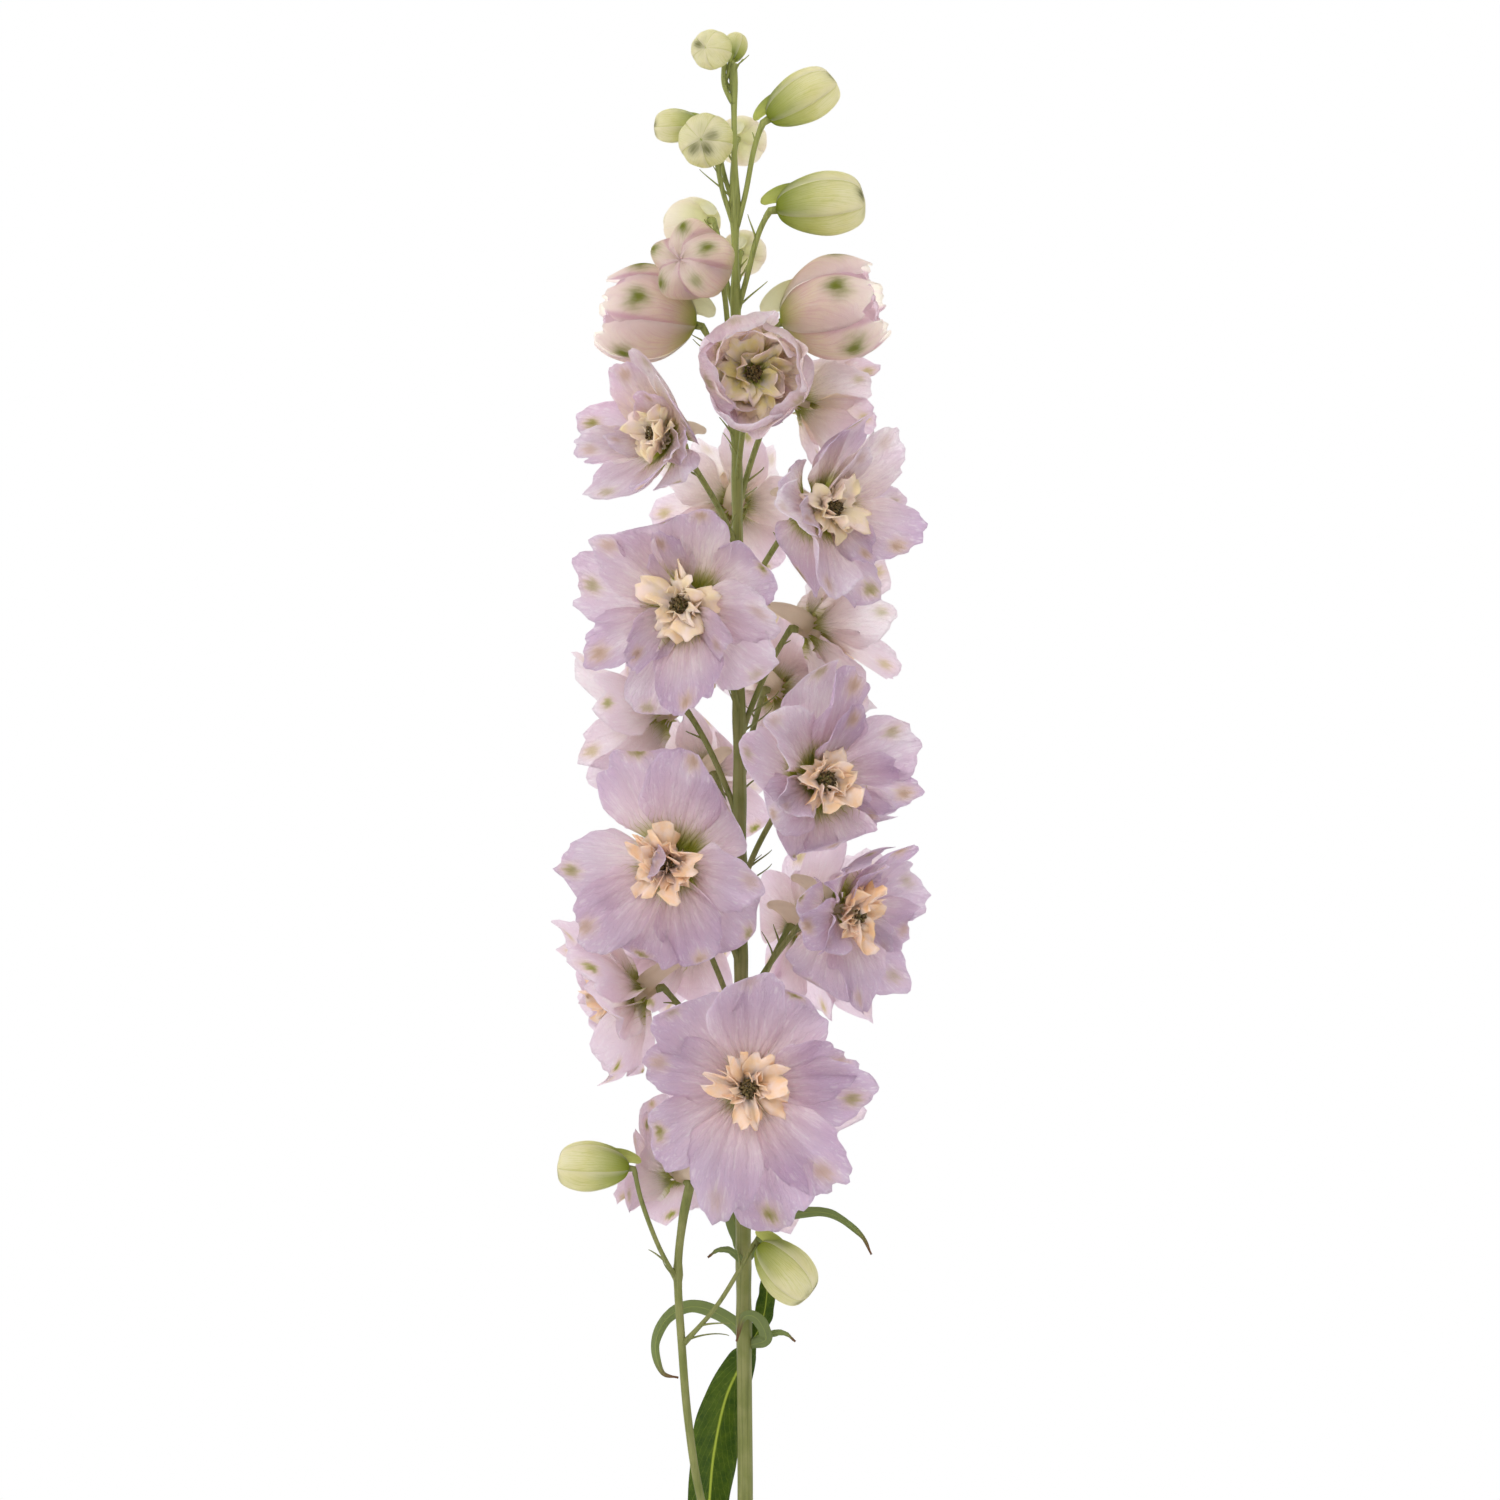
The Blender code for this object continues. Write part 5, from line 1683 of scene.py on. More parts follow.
@dataclass
class VaseOfWater:
    """The glass vase and the water in it, both turned round the vertical axis."""

    height: float = 0.190
    foot_r: float = 0.036
    body_r: float = 0.043
    body_z: float = 0.052
    neck_r: float = 0.0125
    neck_z: float = 0.150
    lip_r: float = 0.0185
    wall: float = 0.0032
    floor: float = 0.0080
    level: float = 0.128
    sides: int = 112
    corner_r: float = 0.006
    corner_knots: int = 10
    corner_rise: float = 0.002
    inside_knots: int = 60
    outside_z: float = 0.0022
    outside_knots: int = 80
    lip_knots: int = 12
    foot_edge: tuple = ((0.0016, 0.0), (0.0006, 0.0006))
    overlap: float = 0.00012
    meniscus_high: float = 0.0009
    meniscus_wide: float = 0.0011
    surface_knots: int = 24

    def outer(self, z: np.ndarray) -> np.ndarray:
        """The vase's outer radius: a quarter sine up to the belly, half a cosine to the neck, a cubed flare.

        Args:
            z: Heights.

        Returns:
            The radius at each height.
        """
        low = self.foot_r + (self.body_r - self.foot_r) * np.sin(np.clip(z / self.body_z, 0, 1) * math.pi / 2)
        share = np.clip((z - self.body_z) / (self.neck_z - self.body_z), 0.0, 1.0)
        middle = self.neck_r + (self.body_r - self.neck_r) * (0.5 + 0.5 * np.cos(share * math.pi))
        flare = np.clip((z - self.neck_z) / (self.height - self.neck_z), 0.0, 1.0)
        high = self.neck_r + (self.lip_r - self.neck_r) * flare**3
        return np.where(z <= self.body_z, low, np.where(z <= self.neck_z, middle, high))

    def inner_profile(self, top: float, spare: float) -> np.ndarray:
        """The cavity's outline from the axis at the floor up to a height.

        Args:
            top: The height to stop at.
            spare: How far outside the cavity's own wall it runs.

        Returns:
            Radius and height of each point. The corner at the floor is a quarter circle.
        """
        corner = self.corner_r
        turn = np.linspace(0.0, math.pi / 2, self.corner_knots)
        foot_r = self.outer(np.array(self.floor + corner)) - self.wall + spare
        rounded_z = self.floor - spare + corner - corner * np.cos(turn)
        rounded = np.stack((foot_r - corner + corner * np.sin(turn), rounded_z), axis=-1)
        z = np.linspace(self.floor + corner + self.corner_rise, top, self.inside_knots)
        side = np.stack((self.outer(z) - self.wall + spare, z), axis=-1)
        return np.vstack(((0.0, self.floor - spare), rounded, side))

    def glass(self) -> Surface:
        """The vase: a thin edge to stand on, outside up, a half-round lip and inside down.

        Returns:
            The closed surface.
        """
        half = self.wall / 2
        z = np.linspace(self.outside_z, self.height - half, self.outside_knots)
        outside = np.stack((self.outer(z), z), axis=-1)
        turn = np.linspace(0.0, math.pi, self.lip_knots)[1:-1]
        lip_r = self.lip_r - half + half * np.cos(turn)
        lip = np.stack((lip_r, self.height - half + half * np.sin(turn)), axis=-1)
        inside = self.inner_profile(self.height - half, 0.0)[::-1]
        edge = np.array([(self.foot_r - inward, rise) for inward, rise in self.foot_edge])
        return turned(np.vstack(((0.0, 0.0), edge, outside, lip, inside)), self.sides)

    def water(self) -> Surface:
        """The water, which climbs the glass in a small exponential meniscus.

        It overlaps the glass by a hair, so that light passes straight from one to the other.

        Returns:
            The closed surface.
        """
        wet = self.inner_profile(self.level + self.meniscus_high, self.overlap)
        rim = wet[-1, 0]
        r = np.linspace(rim, 0.0, self.surface_knots)[1:]
        climb = self.meniscus_high * np.exp(-(rim - r) / self.meniscus_wide)
        return turned(np.vstack((wet, np.stack((r, self.level + climb), axis=-1))), self.sides)

    def build(self, finishes: "Finishes") -> None:
        """Makes the two pieces."""
        make_piece("glass_vase", [self.glass()], [finishes.glass], "glass", "vase")
        make_piece("vase_water", [self.water()], [finishes.water], "water", "water")


Socket = bpy.types.NodeSocket
Value = Socket | float
FLOAT, VECTOR, COLOUR = "NodeSocketFloat", "NodeSocketVector", "NodeSocketColor"


class Net:
    """Adds and links the nodes of one material or node group."""

    def __init__(self, tree: bpy.types.NodeTree) -> None:
        """Starts on a node tree."""
        self.tree = tree

    def feed(self, node: bpy.types.Node, inputs: dict) -> bpy.types.Node:
        """Feeds a node's inputs.

        Args:
            node: The node.
            inputs: What each input gets, by name or number: a socket to link or a plain value.

        Returns:
            The node.
        """
        for key, value in inputs.items():
            if isinstance(value, bpy.types.NodeSocket):
                self.tree.links.new(value, node.inputs[key])
            else:
                node.inputs[key].default_value = value
        return node

    def add(self, kind: str, inputs: dict | None = None, **settings: object) -> bpy.types.Node:
        """Adds a node, sets its own settings and feeds its inputs.

        Args:
            kind: The node's type without its ShaderNode prefix.
            inputs: What each input gets, by name or number: a socket to link or a plain value.
            **settings: The node's own properties.

        Returns:
            The node.
        """
        node = self.tree.nodes.new("ShaderNode" + kind)
        for key, value in settings.items():
            setattr(node, key, value)
        return self.feed(node, inputs or {})

    def math(self, operation: str, a: Value, b: Value = 0.0) -> Socket:
        """One Math node."""
        return self.add("Math", {0: a, 1: b}, operation=operation).outputs[0]

    def times(self, a: Value, b: Value) -> Socket:
        """a times b."""
        return self.math("MULTIPLY", a, b)

    def plus(self, a: Value, b: Value) -> Socket:
        """a plus b."""
        return self.math("ADD", a, b)

    def minus(self, a: Value, b: Value) -> Socket:
        """a minus b."""
        return self.math("SUBTRACT", a, b)

    def off(self, a: Value, b: Value) -> Socket:
        """How far a is from b."""
        return self.math("ABSOLUTE", self.minus(a, b))

    def larger(self, a: Value, b: Value) -> Socket:
        """The larger of a and b."""
        return self.math("MAXIMUM", a, b)

    def wave(self, turns: Value) -> Socket:
        """The size of the sine of pi times a value, which is 0 at each whole number."""
        return self.math("ABSOLUTE", self.math("SINE", self.times(turns, math.pi)))

    def parts(self, vector: Socket) -> bpy.types.bpy_prop_collection:
        """A vector's three values."""
        return self.add("SeparateXYZ", {0: vector}).outputs

    def ease(
        self, value: Value, low: float, high: float, bottom: float = 0.0, top: float = 1.0
    ) -> Socket:
        """An S-shaped step from bottom to top as the value goes from low to high.

        Args:
            value: What the step reads.
            low: The value where it starts.
            high: The value where it ends, which may be below low.
            bottom: What it gives before low.
            top: What it gives past high.

        Returns:
            The stepped value.
        """
        if low > high:
            low, high, bottom, top = high, low, top, bottom
        inputs = {"Value": value, "From Min": low, "From Max": high, "To Min": bottom, "To Max": top}
        return self.add("MapRange", inputs, interpolation_type="SMOOTHSTEP").outputs[0]

    def between(self, value: Socket, rise: tuple, fall: tuple) -> Socket:
        """Two eased steps multiplied: one that rises with the value and one that falls again."""
        return self.times(self.ease(value, *rise), self.ease(value, *fall))

    def blend(self, share: Value, a: Socket | tuple, b: Socket | tuple) -> Socket:
        """Mixes colour b into colour a."""
        return self.add("Mix", {0: share, 6: a, 7: b}, data_type="RGBA").outputs[2]

    def blend_value(self, share: Value, a: Value, b: Value) -> Socket:
        """Mixes plain value b into plain value a."""
        return self.add("Mix", {0: share, 2: a, 3: b}, data_type="FLOAT").outputs[0]

    def noise(
        self, at: Socket, scale: Value, detail: float = 2.0, distortion: float = 0.0
    ) -> Socket:
        """Plain noise between 0 and 1."""
        inputs = {"Vector": at, "Scale": scale, "Detail": detail, "Distortion": distortion}
        return self.add("TexNoise", inputs).outputs[0]

    def cells(self, at: Socket, scale: Value, feature: str = "F1") -> Socket:
        """How far a place is from the middle or, with another feature, the edge of its random cell."""
        return self.add("TexVoronoi", {"Vector": at, "Scale": scale}, feature=feature).outputs[0]

    def scaled(self, at: Socket, scale: Triple) -> Socket:
        """A place with each of its three values multiplied."""
        return self.add("Mapping", {"Vector": at, "Scale": scale}).outputs[0]

    def group(self, tree: bpy.types.NodeTree, inputs: dict) -> bpy.types.bpy_prop_collection:
        """Places a node group.

        Args:
            tree: The group.
            inputs: What each of its inputs gets, by name.

        Returns:
            Its outputs.
        """
        node = self.tree.nodes.new("ShaderNodeGroup")
        node.node_tree = tree
        return self.feed(node, inputs).outputs


class Effect:
    """A shader group that several finishes share, with named sockets."""

    def __init__(self, name: str, inputs: dict[str, str], outputs: dict[str, str]) -> None:
        """Starts an empty group.

        Args:
            name: The group's name.
            inputs: Socket type of each input, by name.
            outputs: Socket type of each output, by name.
        """
        self.tree = bpy.data.node_groups.new(name, "ShaderNodeTree")
        self.net = Net(self.tree)
        for label, kind in inputs.items():
            self.tree.interface.new_socket(label, in_out="INPUT", socket_type=kind)
        for label, kind in outputs.items():
            self.tree.interface.new_socket(label, in_out="OUTPUT", socket_type=kind)
        self.given = self.tree.nodes.new("NodeGroupInput").outputs
        self.leave = self.tree.nodes.new("NodeGroupOutput")

    def give(self, outputs: dict[str, Socket]) -> bpy.types.NodeTree:
        """Links what the group gives.

        Args:
            outputs: The socket that feeds each output, by the output's name.

        Returns:
            The finished group.
        """
        self.net.feed(self.leave, outputs)
        return self.tree


@dataclass(frozen=True)
class FannedVeins:
    """Fanned veins: lines of equal share across a fan that opens with a power of the way along.

    A wave of that share, bent by noise, is sharpened into lines, and a finer set joins it further out. Satin
    is fine streaks along the fan mixed with coarser crinkles, which the finishes use as relief and as painted
    sheen.
    """

    fan_power: float = 0.8
    fan_half: float = 0.5
    fan_foot: float = 0.05
    drift_scale: float = 7.0
    strands: tuple = ((1.0, 0.72), (2.7, 0.60))
    fine_along: tuple = (0.2, 0.6, 0.1, 0.6)
    silk: tuple = ((26.0, 3.0, 0.4), (9.0, 8.0, 1.6))
    silk_detail: float = 4.0
    crinkles: float = 0.60

    def build(self) -> bpy.types.NodeTree:
        """The group.

        Returns:
            The group, with values Veins and Satin.
        """
        sockets = {"Place": VECTOR, "Count": FLOAT, "Wander": FLOAT}
        effect = Effect("fanned_veins", sockets, {"Veins": FLOAT, "Satin": FLOAT})
        net, given = effect.net, effect.given
        place = net.parts(given["Place"])
        across = net.minus(place[0], 0.5)
        opened = net.times(net.math("POWER", place[1], self.fan_power), self.fan_half)
        share = net.math("DIVIDE", across, net.plus(opened, self.fan_foot))
        drift = net.times(net.minus(net.noise(given["Place"], self.drift_scale), 0.5), given["Wander"])
        strands = []
        for times, low in self.strands:
            turn = net.times(net.plus(share, drift), net.times(given["Count"], times))
            strands.append(net.ease(net.minus(1.0, net.wave(turn)), low, 1.0))
        fine = net.times(strands[1], net.ease(place[1], *self.fine_along))
        veins = net.larger(strands[0], fine)
        silk = []
        for wide, long, distortion in self.silk:
            spread = {0: net.times(share, wide), 1: net.times(place[1], long)}
            at = net.add("CombineXYZ", spread).outputs[0]
            silk.append(net.noise(at, 1.0, self.silk_detail, distortion))
        return effect.give({"Veins": veins, "Satin": net.blend_value(self.crinkles, *silk)})


@dataclass(frozen=True)
class TipBlotch:
    """A soft oval mark near a petal's tip: a wide faint halo and a smaller core, both broken up by noise."""

    shift: float = 0.05
    streak_scale: Triple = (38.0, 9.0, 1.0)
    streak_detail: float = 3.0
    broken: float = 0.8
    halo: tuple = (1.25, 0.15)
    core: tuple = (0.75, 0.0)

    def build(self) -> bpy.types.NodeTree:
        """The group.

        Returns:
            The group, with values Halo and Core.
        """
        sockets = {"Place": VECTOR, "Along": FLOAT, "Long": FLOAT, "Wide": FLOAT, "Chance": FLOAT}
        effect = Effect("tip_blotch", sockets, {"Halo": FLOAT, "Core": FLOAT})
        net, given = effect.net, effect.given
        place = net.parts(given["Place"])
        shift = net.times(net.minus(given["Chance"], 0.5), self.shift)
        across = net.math("DIVIDE", net.plus(net.minus(place[0], 0.5), shift), given["Wide"])
        along = net.math("DIVIDE", net.minus(place[1], given["Along"]), given["Long"])
        far = net.math("SQRT", net.plus(net.math("POWER", across, 2.0), net.math("POWER", along, 2.0)))
        streaks = net.noise(net.scaled(given["Place"], self.streak_scale), 1.0, self.streak_detail)
        broken = net.plus(far, net.times(net.minus(streaks, 0.5), self.broken))
        return effect.give({"Halo": net.ease(broken, *self.halo), "Core": net.ease(broken, *self.core)})


@dataclass(frozen=True)
class LivingSkin:
    """Living skin: broad soft mottling that darkens or lightens a colour, and fine cells as a height."""

    detail: float = 3.0
    mottled: tuple = (0.30, 0.72)

    def build(self) -> bpy.types.NodeTree:
        """The group.

        Returns:
            The group, with a colour and the value Height.
        """
        sockets = {"Place": VECTOR, "Colour": COLOUR, "Other": COLOUR, "Scale": FLOAT, "Cells": FLOAT}
        effect = Effect("living_skin", sockets, {"Colour": COLOUR, "Height": FLOAT})
        net, given = effect.net, effect.given
        broad = net.noise(given["Place"], given["Scale"], self.detail)
        cells = net.cells(given["Place"], given["Cells"])
        mottled = net.blend(net.ease(broad, *self.mottled), given["Colour"], given["Other"])
        return effect.give({"Colour": mottled, "Height": cells})


class Coat:
    """A colour that is painted over, layer by layer."""

    def __init__(self, net: Net, colour: Socket) -> None:
        """Starts with a colour."""
        self.net, self.colour = net, colour

    def over(self, share: Value, colour: Socket | tuple) -> None:
        """Paints a share of another colour over it."""
        self.colour = self.net.blend(share, self.colour, colour)


@dataclass(frozen=True)
class Groups:
    """The shader groups that the finishes share."""

    veins: bpy.types.NodeTree
    blotch: bpy.types.NodeTree
    skin: bpy.types.NodeTree

    @classmethod
    def make(cls) -> "Groups":
        """Builds each group once."""
        return cls(FannedVeins().build(), TipBlotch().build(), LivingSkin().build())


@dataclass(frozen=True)
class PlantFinish:
    """What every living surface's finish shares: its shader, with light let through from behind.

    through is the share of light let through, and mottle and cells are the scales of the skin's mottling and
    of its cells. In the finishes made from this one, two or more values in one field are the low and high end
    of a step, and then what it gives at each. A z is a height in the part's frame.
    """

    name: str
    through: float
    roughness: float
    bump: float
    sheen: float = 0.0
    mottle: float = 260.0
    cells: float = 1500.0
    relief: float = 0.0002
    sheen_roughness: float = 0.4
    specular: float = 0.35

    def start(self) -> tuple[bpy.types.Material, Net, Socket, Socket, Socket]:
        """A new material with its coordinates.

        Returns:
            The material, its net, object coordinates, the form's UV and the shade values.
        """
        made = bpy.data.materials.new(self.name)
        made.use_nodes = True
        made.node_tree.nodes.clear()
        net = Net(made.node_tree)
        place = net.add("TexCoord").outputs["Object"]
        form = net.add("UVMap", uv_map="form").outputs[0]
        shade = net.add("Attribute", attribute_name="shade").outputs["Vector"]
        return made, net, place, form, shade

    def skin(
        self, net: Net, groups: Groups, place: Socket, colour: Socket | tuple, other: Socket | tuple
    ) -> bpy.types.bpy_prop_collection:
        """Living skin of two colours: its colour and its height."""
        inputs = {"Place": place, "Colour": colour, "Other": other, "Scale": self.mottle, "Cells": self.cells}
        return net.group(groups.skin, inputs)

    def close(self, net: Net, colour: Socket, height: Socket, through: Value | None = None) -> None:
        """Mixes the surface's own shading with light that comes through from behind.

        Args:
            net: The material's net.
            colour: The surface's colour, and that of the light that comes through.
            height: The fine relief.
            through: How much of the light comes through, where it isn't the finish's own share.
        """
        relief = {"Strength": self.bump, "Distance": self.relief, "Height": height}
        bump = net.add("Bump", relief).outputs[0]
        inputs = {"Base Color": colour, "Roughness": self.roughness, "Normal": bump}
        skin = net.add("BsdfPrincipled", {**inputs, "Sheen Weight": self.sheen})
        skin.inputs["Sheen Roughness"].default_value = self.sheen_roughness
        skin.inputs["Specular IOR Level"].default_value = self.specular
        glow = net.add("BsdfTranslucent", {"Color": colour, "Normal": bump})
        share = self.through if through is None else through
        mixed = net.add("MixShader", {0: share, 1: skin.outputs[0], 2: glow.outputs[0]})
        net.add("OutputMaterial", {0: mixed.outputs[0]})


@dataclass(frozen=True)
class MarkedFinish(PlantFinish):
    """What petals and sepals share: fanned veins, and a mark near the tip."""

    vein_count: float = 9.0
    vein_wander: float = 0.30
    mark_along: float = 0.82
    mark_long: float = 0.14
    mark_wide: float = 0.105

    def veined(self, net: Net, groups: Groups, form: Socket) -> bpy.types.bpy_prop_collection:
        """The veins and the satin between them."""
        inputs = {"Place": form, "Count": self.vein_count, "Wander": self.vein_wander}
        return net.group(groups.veins, inputs)

    def marked(
        self, net: Net, groups: Groups, form: Socket, chance: Socket
    ) -> bpy.types.bpy_prop_collection:
        """The halo and the core of the mark near the tip."""
        shape = {"Along": self.mark_along, "Long": self.mark_long, "Wide": self.mark_wide}
        return net.group(groups.blotch, {"Place": form, **shape, "Chance": chance})


@dataclass(frozen=True)
class PetalFinish(MarkedFinish):
    """Lilac petals: pale blade, pink foot, green throat, fine veins, and a mark near the tip.

    The colour changes up the spike: lower flowers are more violet at their rims, partly their own colour and
    partly painted shade for the light that the flowers behind the lowest ones hold back, young ones creamier
    at their feet, and the half-open one is cream inside with mauve rims.
    """

    mottle: float = 80.0
    pale: tuple = srgb(253, 250, 250)
    lilac: tuple = srgb(239, 224, 233)
    violet: tuple = srgb(216, 196, 219)
    pink: tuple = srgb(253, 238, 235)
    mauve: tuple = srgb(238, 218, 232)
    cream: tuple = srgb(255, 248, 235)
    milk: tuple = srgb(253, 243, 220)
    throat: tuple = srgb(192, 196, 98)
    core: tuple = srgb(184, 180, 116)
    tan: tuple = srgb(208, 184, 160)
    halo: tuple = srgb(240, 226, 214)
    spur: tuple = srgb(240, 228, 212)
    young_z: tuple = (0.43, 0.53)
    crown_z: tuple = (0.504, 0.514)
    aged_and_painted_shade_z: tuple = (0.49, 0.34, 0.12, 0.65)
    throat_z: tuple = ((0.37, 0.42), (0.519, 0.508))
    half_open_z: tuple = ((0.5225, 0.5265), (0.540, 0.532, 0.0, 0.16))
    thin_z: tuple = (0.506, 0.514)
    petal_rings: tuple = ((0.2, 0.8), (1.8, 1.2))
    cream_rings: tuple = ((1.05, 1.2), (1.5, 1.3, 0.0, 0.9))
    spur_rings: tuple = (1.4, 1.8, 0.0, 0.9)
    rim: tuple = (0.35, 1.0)
    rim_chance: tuple = (0.0, 1.0, 0.15, 0.70)
    aged_and_painted_shade_along: tuple = (0.15, 0.70)
    pale_chance: tuple = (0.5, 0.0, 0.0, 0.45)
    pink_along: tuple = (0.72, 0.14, 0.0, 0.60)
    near_along: tuple = (0.55, 0.18, 0.0, 0.5)
    inner_along: tuple = (0.9, 0.3, 0.0, 0.8)
    mauve_rim: tuple = (0.60, 1.0, 0.0, 0.60)
    vein_along: tuple = (0.95, 0.2, 0.14, 0.32)
    # Painted sheen: lilac and paler streaks read from the satin value stand in for the petals' silky
    # highlights
    painted_sheen_lilac: tuple = (0.46, 0.66, 0.0, 0.60)
    painted_sheen_pale: tuple = (0.50, 0.34, 0.0, 0.50)
    crown_through: float = 0.84
    cream_through: float = 0.60
    throat_reach: float = 0.15
    low_throat_reach: float = 0.05
    throat_soft: float = 0.20
    throat_ragged: float = 0.09
    throat_share: float = 0.95
    cream_throat_share: float = 0.50
    mark_chance: tuple = (0.0, 0.9, 0.30, 1.0)
    mark_share: float = 0.90
    inner_mark_share: float = 0.62
    halo_share: float = 0.8
    satin_relief: float = 3.0
    vein_relief: float = -1.0

    def build(self, groups: Groups) -> bpy.types.Material:
        """The material: the blade's own colour, then its cream foot, veins, painted sheen streaks, throat,
        mark and the spur.

        Args:
            groups: The shared shader groups.

        Returns:
            The material.
        """
        made, net, place, form, shade = self.start()
        whorl, chance, margin = net.parts(shade)
        height, along = net.parts(place)[2], net.parts(form)[1]
        skin, cells = self.skin(net, groups, place, self.pale, self.lilac)
        veins, satin = self.veined(net, groups, form)
        young = net.ease(height, *self.young_z)
        is_petal = net.between(whorl, *self.petal_rings)
        edge = net.times(net.ease(margin, *self.rim), net.ease(chance, *self.rim_chance))
        # Lower flowers grow more violet: partly their own colour, partly painted shade for the light that the
        # flowers behind them hold back
        aged_and_painted_shade = net.times(net.ease(height, *self.aged_and_painted_shade_z), net.ease(along, *self.aged_and_painted_shade_along))
        coat = Coat(net, skin)
        coat.over(net.ease(chance, *self.pale_chance), self.pale)
        flush = net.blend(net.ease(height, *self.crown_z), self.violet, self.mauve)
        coat.over(net.larger(edge, aged_and_painted_shade), flush)
        coat.over(net.ease(along, *self.pink_along), self.pink)
        near = net.times(young, net.ease(along, *self.near_along))
        inner = net.times(net.times(is_petal, young), net.ease(along, *self.inner_along))
        whole = net.between(whorl, *self.cream_rings)
        cream = net.larger(net.larger(near, inner), whole)
        coat.over(cream, net.blend(net.ease(height, *self.crown_z), self.cream, self.milk))
        coat.over(net.times(whole, net.ease(margin, *self.mauve_rim)), self.mauve)
        coat.over(net.times(veins, net.ease(along, *self.vein_along)), flush)
        # Painted sheen: lilac and paler streaks over the satin stand in for the petals' silky highlights
        coat.over(net.ease(satin, *self.painted_sheen_lilac), self.lilac)
        coat.over(net.ease(satin, *self.painted_sheen_pale), self.pale)
        open_throat = net.between(height, *self.throat_z)
        half_open = net.between(height, *self.half_open_z)
        green = net.plus(net.blend_value(open_throat, self.low_throat_reach, self.throat_reach), half_open)
        reach = net.minus(net.minus(along, net.times(veins, self.throat_ragged)), green)
        depth = net.blend_value(whole, self.throat_share, self.cream_throat_share)
        coat.over(net.times(net.ease(reach, self.throat_soft, 0.0), depth), self.throat)
        halo, core = self.marked(net, groups, form, chance)
        uneven = net.ease(chance, *self.mark_chance)
        coat.over(net.times(halo, net.times(uneven, self.halo_share)), self.halo)
        share = net.blend_value(is_petal, self.mark_share, self.inner_mark_share)
        strength = net.times(net.times(share, core), uneven)
        coat.over(strength, net.blend(is_petal, self.core, self.tan))
        coat.over(net.ease(whorl, *self.spur_rings), self.spur)
        relief = net.plus(net.times(satin, self.satin_relief), net.times(veins, self.vein_relief))
        thin = net.ease(height, *self.thin_z, self.through, self.crown_through)
        through = net.blend_value(whole, thin, self.cream_through)
        self.close(net, coat.colour, net.plus(cells, relief), through)
        return made


@dataclass(frozen=True)
class BeeFinish(PlantFinish):
    """The crumpled petals of the eye: apricot low on the spike, cream high on it, with pale patches.

    In the half-open flower at the top they are yellow with a green foot and lilac tips, and let less light
    through, so that they light up the flower's hollow.
    """

    apricot: tuple = srgb(253, 225, 186)
    cream: tuple = srgb(254, 243, 212)
    patch: tuple = srgb(254, 240, 232)
    foot: tuple = srgb(232, 224, 168)
    milk: tuple = srgb(253, 240, 164)
    pale_foot: tuple = srgb(212, 220, 106)
    blush: tuple = srgb(238, 212, 222)
    young_z: tuple = (0.40, 0.50)
    crown_z: tuple = (0.505, 0.515)
    crown_through: float = 0.22
    patch_noise: Triple = (5.0, 3.0, 0.5)
    patch_share: float = 1.1
    patch_chance: float = -0.35
    patch_step: tuple = (0.58, 0.92)
    blush_along: tuple = (0.60, 1.0, 0.0, 0.60)
    foot_along: tuple = (0.35, 0.05)

    def build(self, groups: Groups) -> bpy.types.Material:
        """The material.

        Args:
            groups: The shared shader groups.

        Returns:
            The material.
        """
        made, net, place, form, shade = self.start()
        height, along, chance = net.parts(place)[2], net.parts(form)[1], net.parts(shade)[1]
        crown = net.ease(height, *self.crown_z)
        ground = net.blend(net.ease(height, *self.young_z), self.apricot, self.cream)
        ground = net.blend(crown, ground, self.milk)
        skin, cells = self.skin(net, groups, place, ground, self.patch)
        spread = net.plus(along, net.times(net.noise(form, *self.patch_noise), self.patch_share))
        within = net.ease(net.plus(spread, net.times(chance, self.patch_chance)), *self.patch_step)
        coat = Coat(net, net.blend(within, net.blend(crown, self.patch, self.milk), skin))
        coat.over(net.times(crown, net.ease(along, *self.blush_along)), self.blush)
        coat.over(net.ease(along, *self.foot_along), net.blend(crown, self.foot, self.pale_foot))
        self.close(net, coat.colour, cells, net.blend_value(crown, self.through, self.crown_through))
        return made


@dataclass(frozen=True)
class StamenFinish(PlantFinish):
    """Dark olive-brown anthers on pale threads."""

    mottle: float = 900.0
    cells: float = 5000.0
    thread: tuple = srgb(206, 200, 140)
    anther: tuple = srgb(68, 52, 32)
    pollen: tuple = srgb(124, 106, 64)

    def build(self, groups: Groups) -> bpy.types.Material:
        """The material.

        Args:
            groups: The shared shader groups.

        Returns:
            The material.
        """
        made, net, place, _, shade = self.start()
        is_anther = net.parts(shade)[0]
        skin, cells = self.skin(net, groups, place, self.anther, self.pollen)
        self.close(net, net.blend(is_anther, self.thread, skin), cells)
        return made


